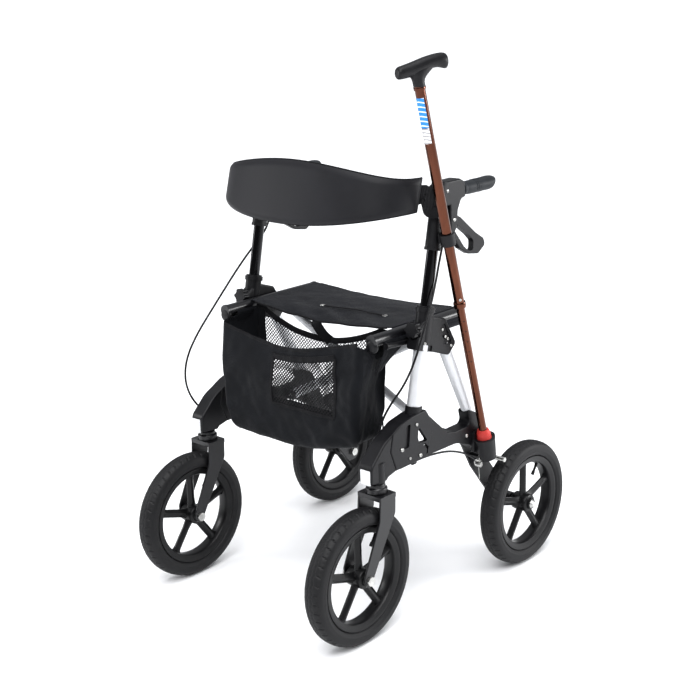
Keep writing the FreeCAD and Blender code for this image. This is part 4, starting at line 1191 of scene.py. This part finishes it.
def middle_strap():
    """Webbing from the middle of the seat's front hem to the bag's rear rim."""
    start, end = seat_point(0.51, 0.0), bag_back(0.032, 0.985)
    route = smooth_route([start + Vector((0, 0.014, -0.003)), start + Vector((0, -0.002, -0.003)),
                          start.lerp(end, 0.5) + Vector((0, -0.003, -0.006)), end], 8)
    follow_fold_bag(piece("bag_middle_strap", strip(route, 0.024, 0.0024, X), None,
                          "bag_fabric", EXTRA["webbing"]))


# -------------------------------------------------------- small hardware

def frame_hardware():
    """Bolts on the mouldings and reflectors on the arms."""
    bracket_bolts = [(-81, 369, 4.5), (-142, 399, 4.5), (-92, 442, 3.6), (87, 364, 4.5),
                     (-116, 372, 3.2)]
    for side, flip in SIDES.items():
        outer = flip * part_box("lower_bracket_left")[1].x
        body = "frame_" + side
        for n, (y, z, radius) in enumerate(bracket_bolts):
            at_x = outer if y < -60 else flip * 0.280
            bolt("bracket_bolt_%s_%d" % (side, n), Vector((at_x, y * MM, z * MM)), X * flip,
                 radius * MM, 0.0026, body)
        seat_face = flip * 0.279
        for n, (y, z) in enumerate(((4, 630), (14, 612), (34, 588), (22, 606), (-56, 612))):
            bolt("seat_bolt_%s_%d" % (side, n), Vector((seat_face, y * MM, z * MM)), X * flip,
                 0.0034, 0.0024, body)
        for n, (y, z) in enumerate(((24, 926), (46, 862), (14, 905))):
            bolt("head_bolt_%s_%d" % (side, n), Vector((flip * 0.280, y * MM, z * MM)), X * flip,
                 0.0036, 0.0022, "post_" + side)
        centre = Vector((middle("front_arm_" + side).x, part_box("front_arm_" + side)[0].y, 0.363))
        rounded_box("reflector_" + side, (0.027, 0.0042, 0.033), centre + Y * 0.0006, 0.0018,
                    body, "steel", EXTRA["reflector"])


def caliper(side):
    """Return spring and inner wire of the rear brake."""
    flip = SIDES[side]
    coil = []
    for n in range(90):
        angle = 2 * math.pi * n / 15
        coil.append(mm(flip * (272 + n * 0.11), 150 + 7.6 * math.cos(angle),
                       292 + 7.6 * math.sin(angle)))
    piece("brake_spring_" + side, round_tube(coil, 0.0007, 6), "frame_" + side, "steel")
    wire = smooth_route([mm(flip * 283, 129, 289), mm(flip * 283, 130, 270),
                         mm(flip * 284, 131, 246)], 6)
    piece("brake_inner_wire_" + side, round_tube(wire, 0.0007, 6), "shoe_" + side, "steel")


def rail_rings():
    """End caps of the seat rails."""
    for side in SIDES:
        rail = middle("seat_rail_" + side)
        low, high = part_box("seat_rail_" + side)
        for n, (y, way) in enumerate(((low.y, -1), (high.y, 1))):
            cap = [(0.00001, 0.0022), (0.0090, 0.0020), (0.0128, 0.0006), (0.0146, -0.0022),
                   (0.0149, -0.0065), (0.0141, -0.0080)]
            piece("rail_cap_%s_%d" % (side, n),
                  revolve(cap, Vector((rail.x, y, rail.z)), 40, Y * way, Z, closed=False),
                  "rail_" + side, "black_plastic")


# ---------------------------------------------------------------- the stage

def build_camera():
    """Camera at the photograph's angle."""
    data = bpy.data.cameras.new("camera")
    data.lens = 63.13
    data.sensor_width = 36
    camera = bpy.data.objects.new("camera", data)
    show(camera)
    back = Vector((0.6517, -0.7062, 0.2765)).normalized()
    right = Vector((0.7404, 0.6715, -0.0299)).normalized()
    up = back.cross(right).normalized()
    right = up.cross(back)
    camera.matrix_world = Matrix((
        (right.x, up.x, back.x, 1.858),
        (right.y, up.y, back.y, -2.001),
        (right.z, up.z, back.z, 1.323),
        (0, 0, 0, 1)))
    bpy.context.scene.camera = camera


def area_light(name, place, target, size, power, colour=(1, 1, 1)):
    data = bpy.data.lights.new(name, "AREA")
    data.shape = "RECTANGLE"
    data.size = size
    data.size_y = size * 0.7
    data.energy = power
    data.color = colour
    light = bpy.data.objects.new(name, data)
    show(light)
    light.location = place
    light.rotation_mode = "QUATERNION"
    light.rotation_quaternion = (Vector(target) - Vector(place)).to_track_quat("-Z", "Y")


def build_stage():
    """Pale floor, white surroundings and large soft lights."""
    verts = [(-40, -40, 0), (40, -40, 0), (40, 40, 0), (-40, 40, 0)]
    mesh = bpy.data.meshes.new("floor")
    mesh.from_pydata(verts, [], [(0, 1, 2, 3)])
    floor = bpy.data.objects.new("floor", mesh)
    show(floor)
    n = Nodes("studio_floor")
    paper = n.noise(3, 3)
    mesh.materials.append(n.finish(n.ramp(paper, (0.90, 0.905, 0.915), (0.93, 0.935, 0.94)),
                                   n.range(paper, 0.55, 0.65)))
    world = bpy.data.worlds.new("studio")
    world.use_nodes = True
    tree = world.node_tree
    seen, lit = tree.nodes["Background"], tree.nodes.new("ShaderNodeBackground")
    seen.inputs["Color"].default_value = (0.985, 0.985, 1.0, 1)
    seen.inputs["Strength"].default_value = 1.0
    lit.inputs["Color"].default_value = (0.96, 0.97, 1.0, 1)
    where, parts = tree.nodes.new("ShaderNodeTexCoord"), tree.nodes.new("ShaderNodeSeparateXYZ")
    height = tree.nodes.new("ShaderNodeMapRange")
    height.inputs["To Min"].default_value = 0.16
    height.inputs["To Max"].default_value = 0.95
    tree.links.new(where.outputs["Generated"], parts.inputs["Vector"])
    tree.links.new(parts.outputs["Z"], height.inputs["Value"])
    tree.links.new(height.outputs["Result"], lit.inputs["Strength"])
    path, mix = tree.nodes.new("ShaderNodeLightPath"), tree.nodes.new("ShaderNodeMixShader")
    tree.links.new(path.outputs["Is Camera Ray"], mix.inputs["Fac"])
    tree.links.new(lit.outputs["Background"], mix.inputs[1])
    tree.links.new(seen.outputs["Background"], mix.inputs[2])
    tree.links.new(mix.outputs["Shader"], tree.nodes["World Output"].inputs["Surface"])
    bpy.context.scene.world = world
    bpy.context.scene.view_settings.view_transform = "Standard"
    bpy.context.scene.view_settings.look = "Medium High Contrast"
    target = (0, 0, 0.55)
    area_light("key", (1.6, -2.6, 3.2), target, 1.8, 45)
    area_light("rim", (2.5, 2.5, 1.3), target, 1.5, 60)
    area_light("side", (-2.6, -2.2, 1.4), target, 1.0, 26)
    sun = bpy.data.lights.new("overhead", "SUN")
    sun.energy = 1.9
    sun.angle = math.radians(50)
    holder = bpy.data.objects.new("overhead", sun)
    show(holder)
    holder.rotation_euler = (math.radians(14), math.radians(10), 0)


build_camera()
build_stage()
paint_cad_nodes()
all_wheels()
for hand in SIDES:
    grip(hand)
    brake_cable(hand)
    caliper(hand)
cane_handle()
cane_details()
backrest()
backrest_straps()
seat()
bag()
frame_hardware()
rail_rings()
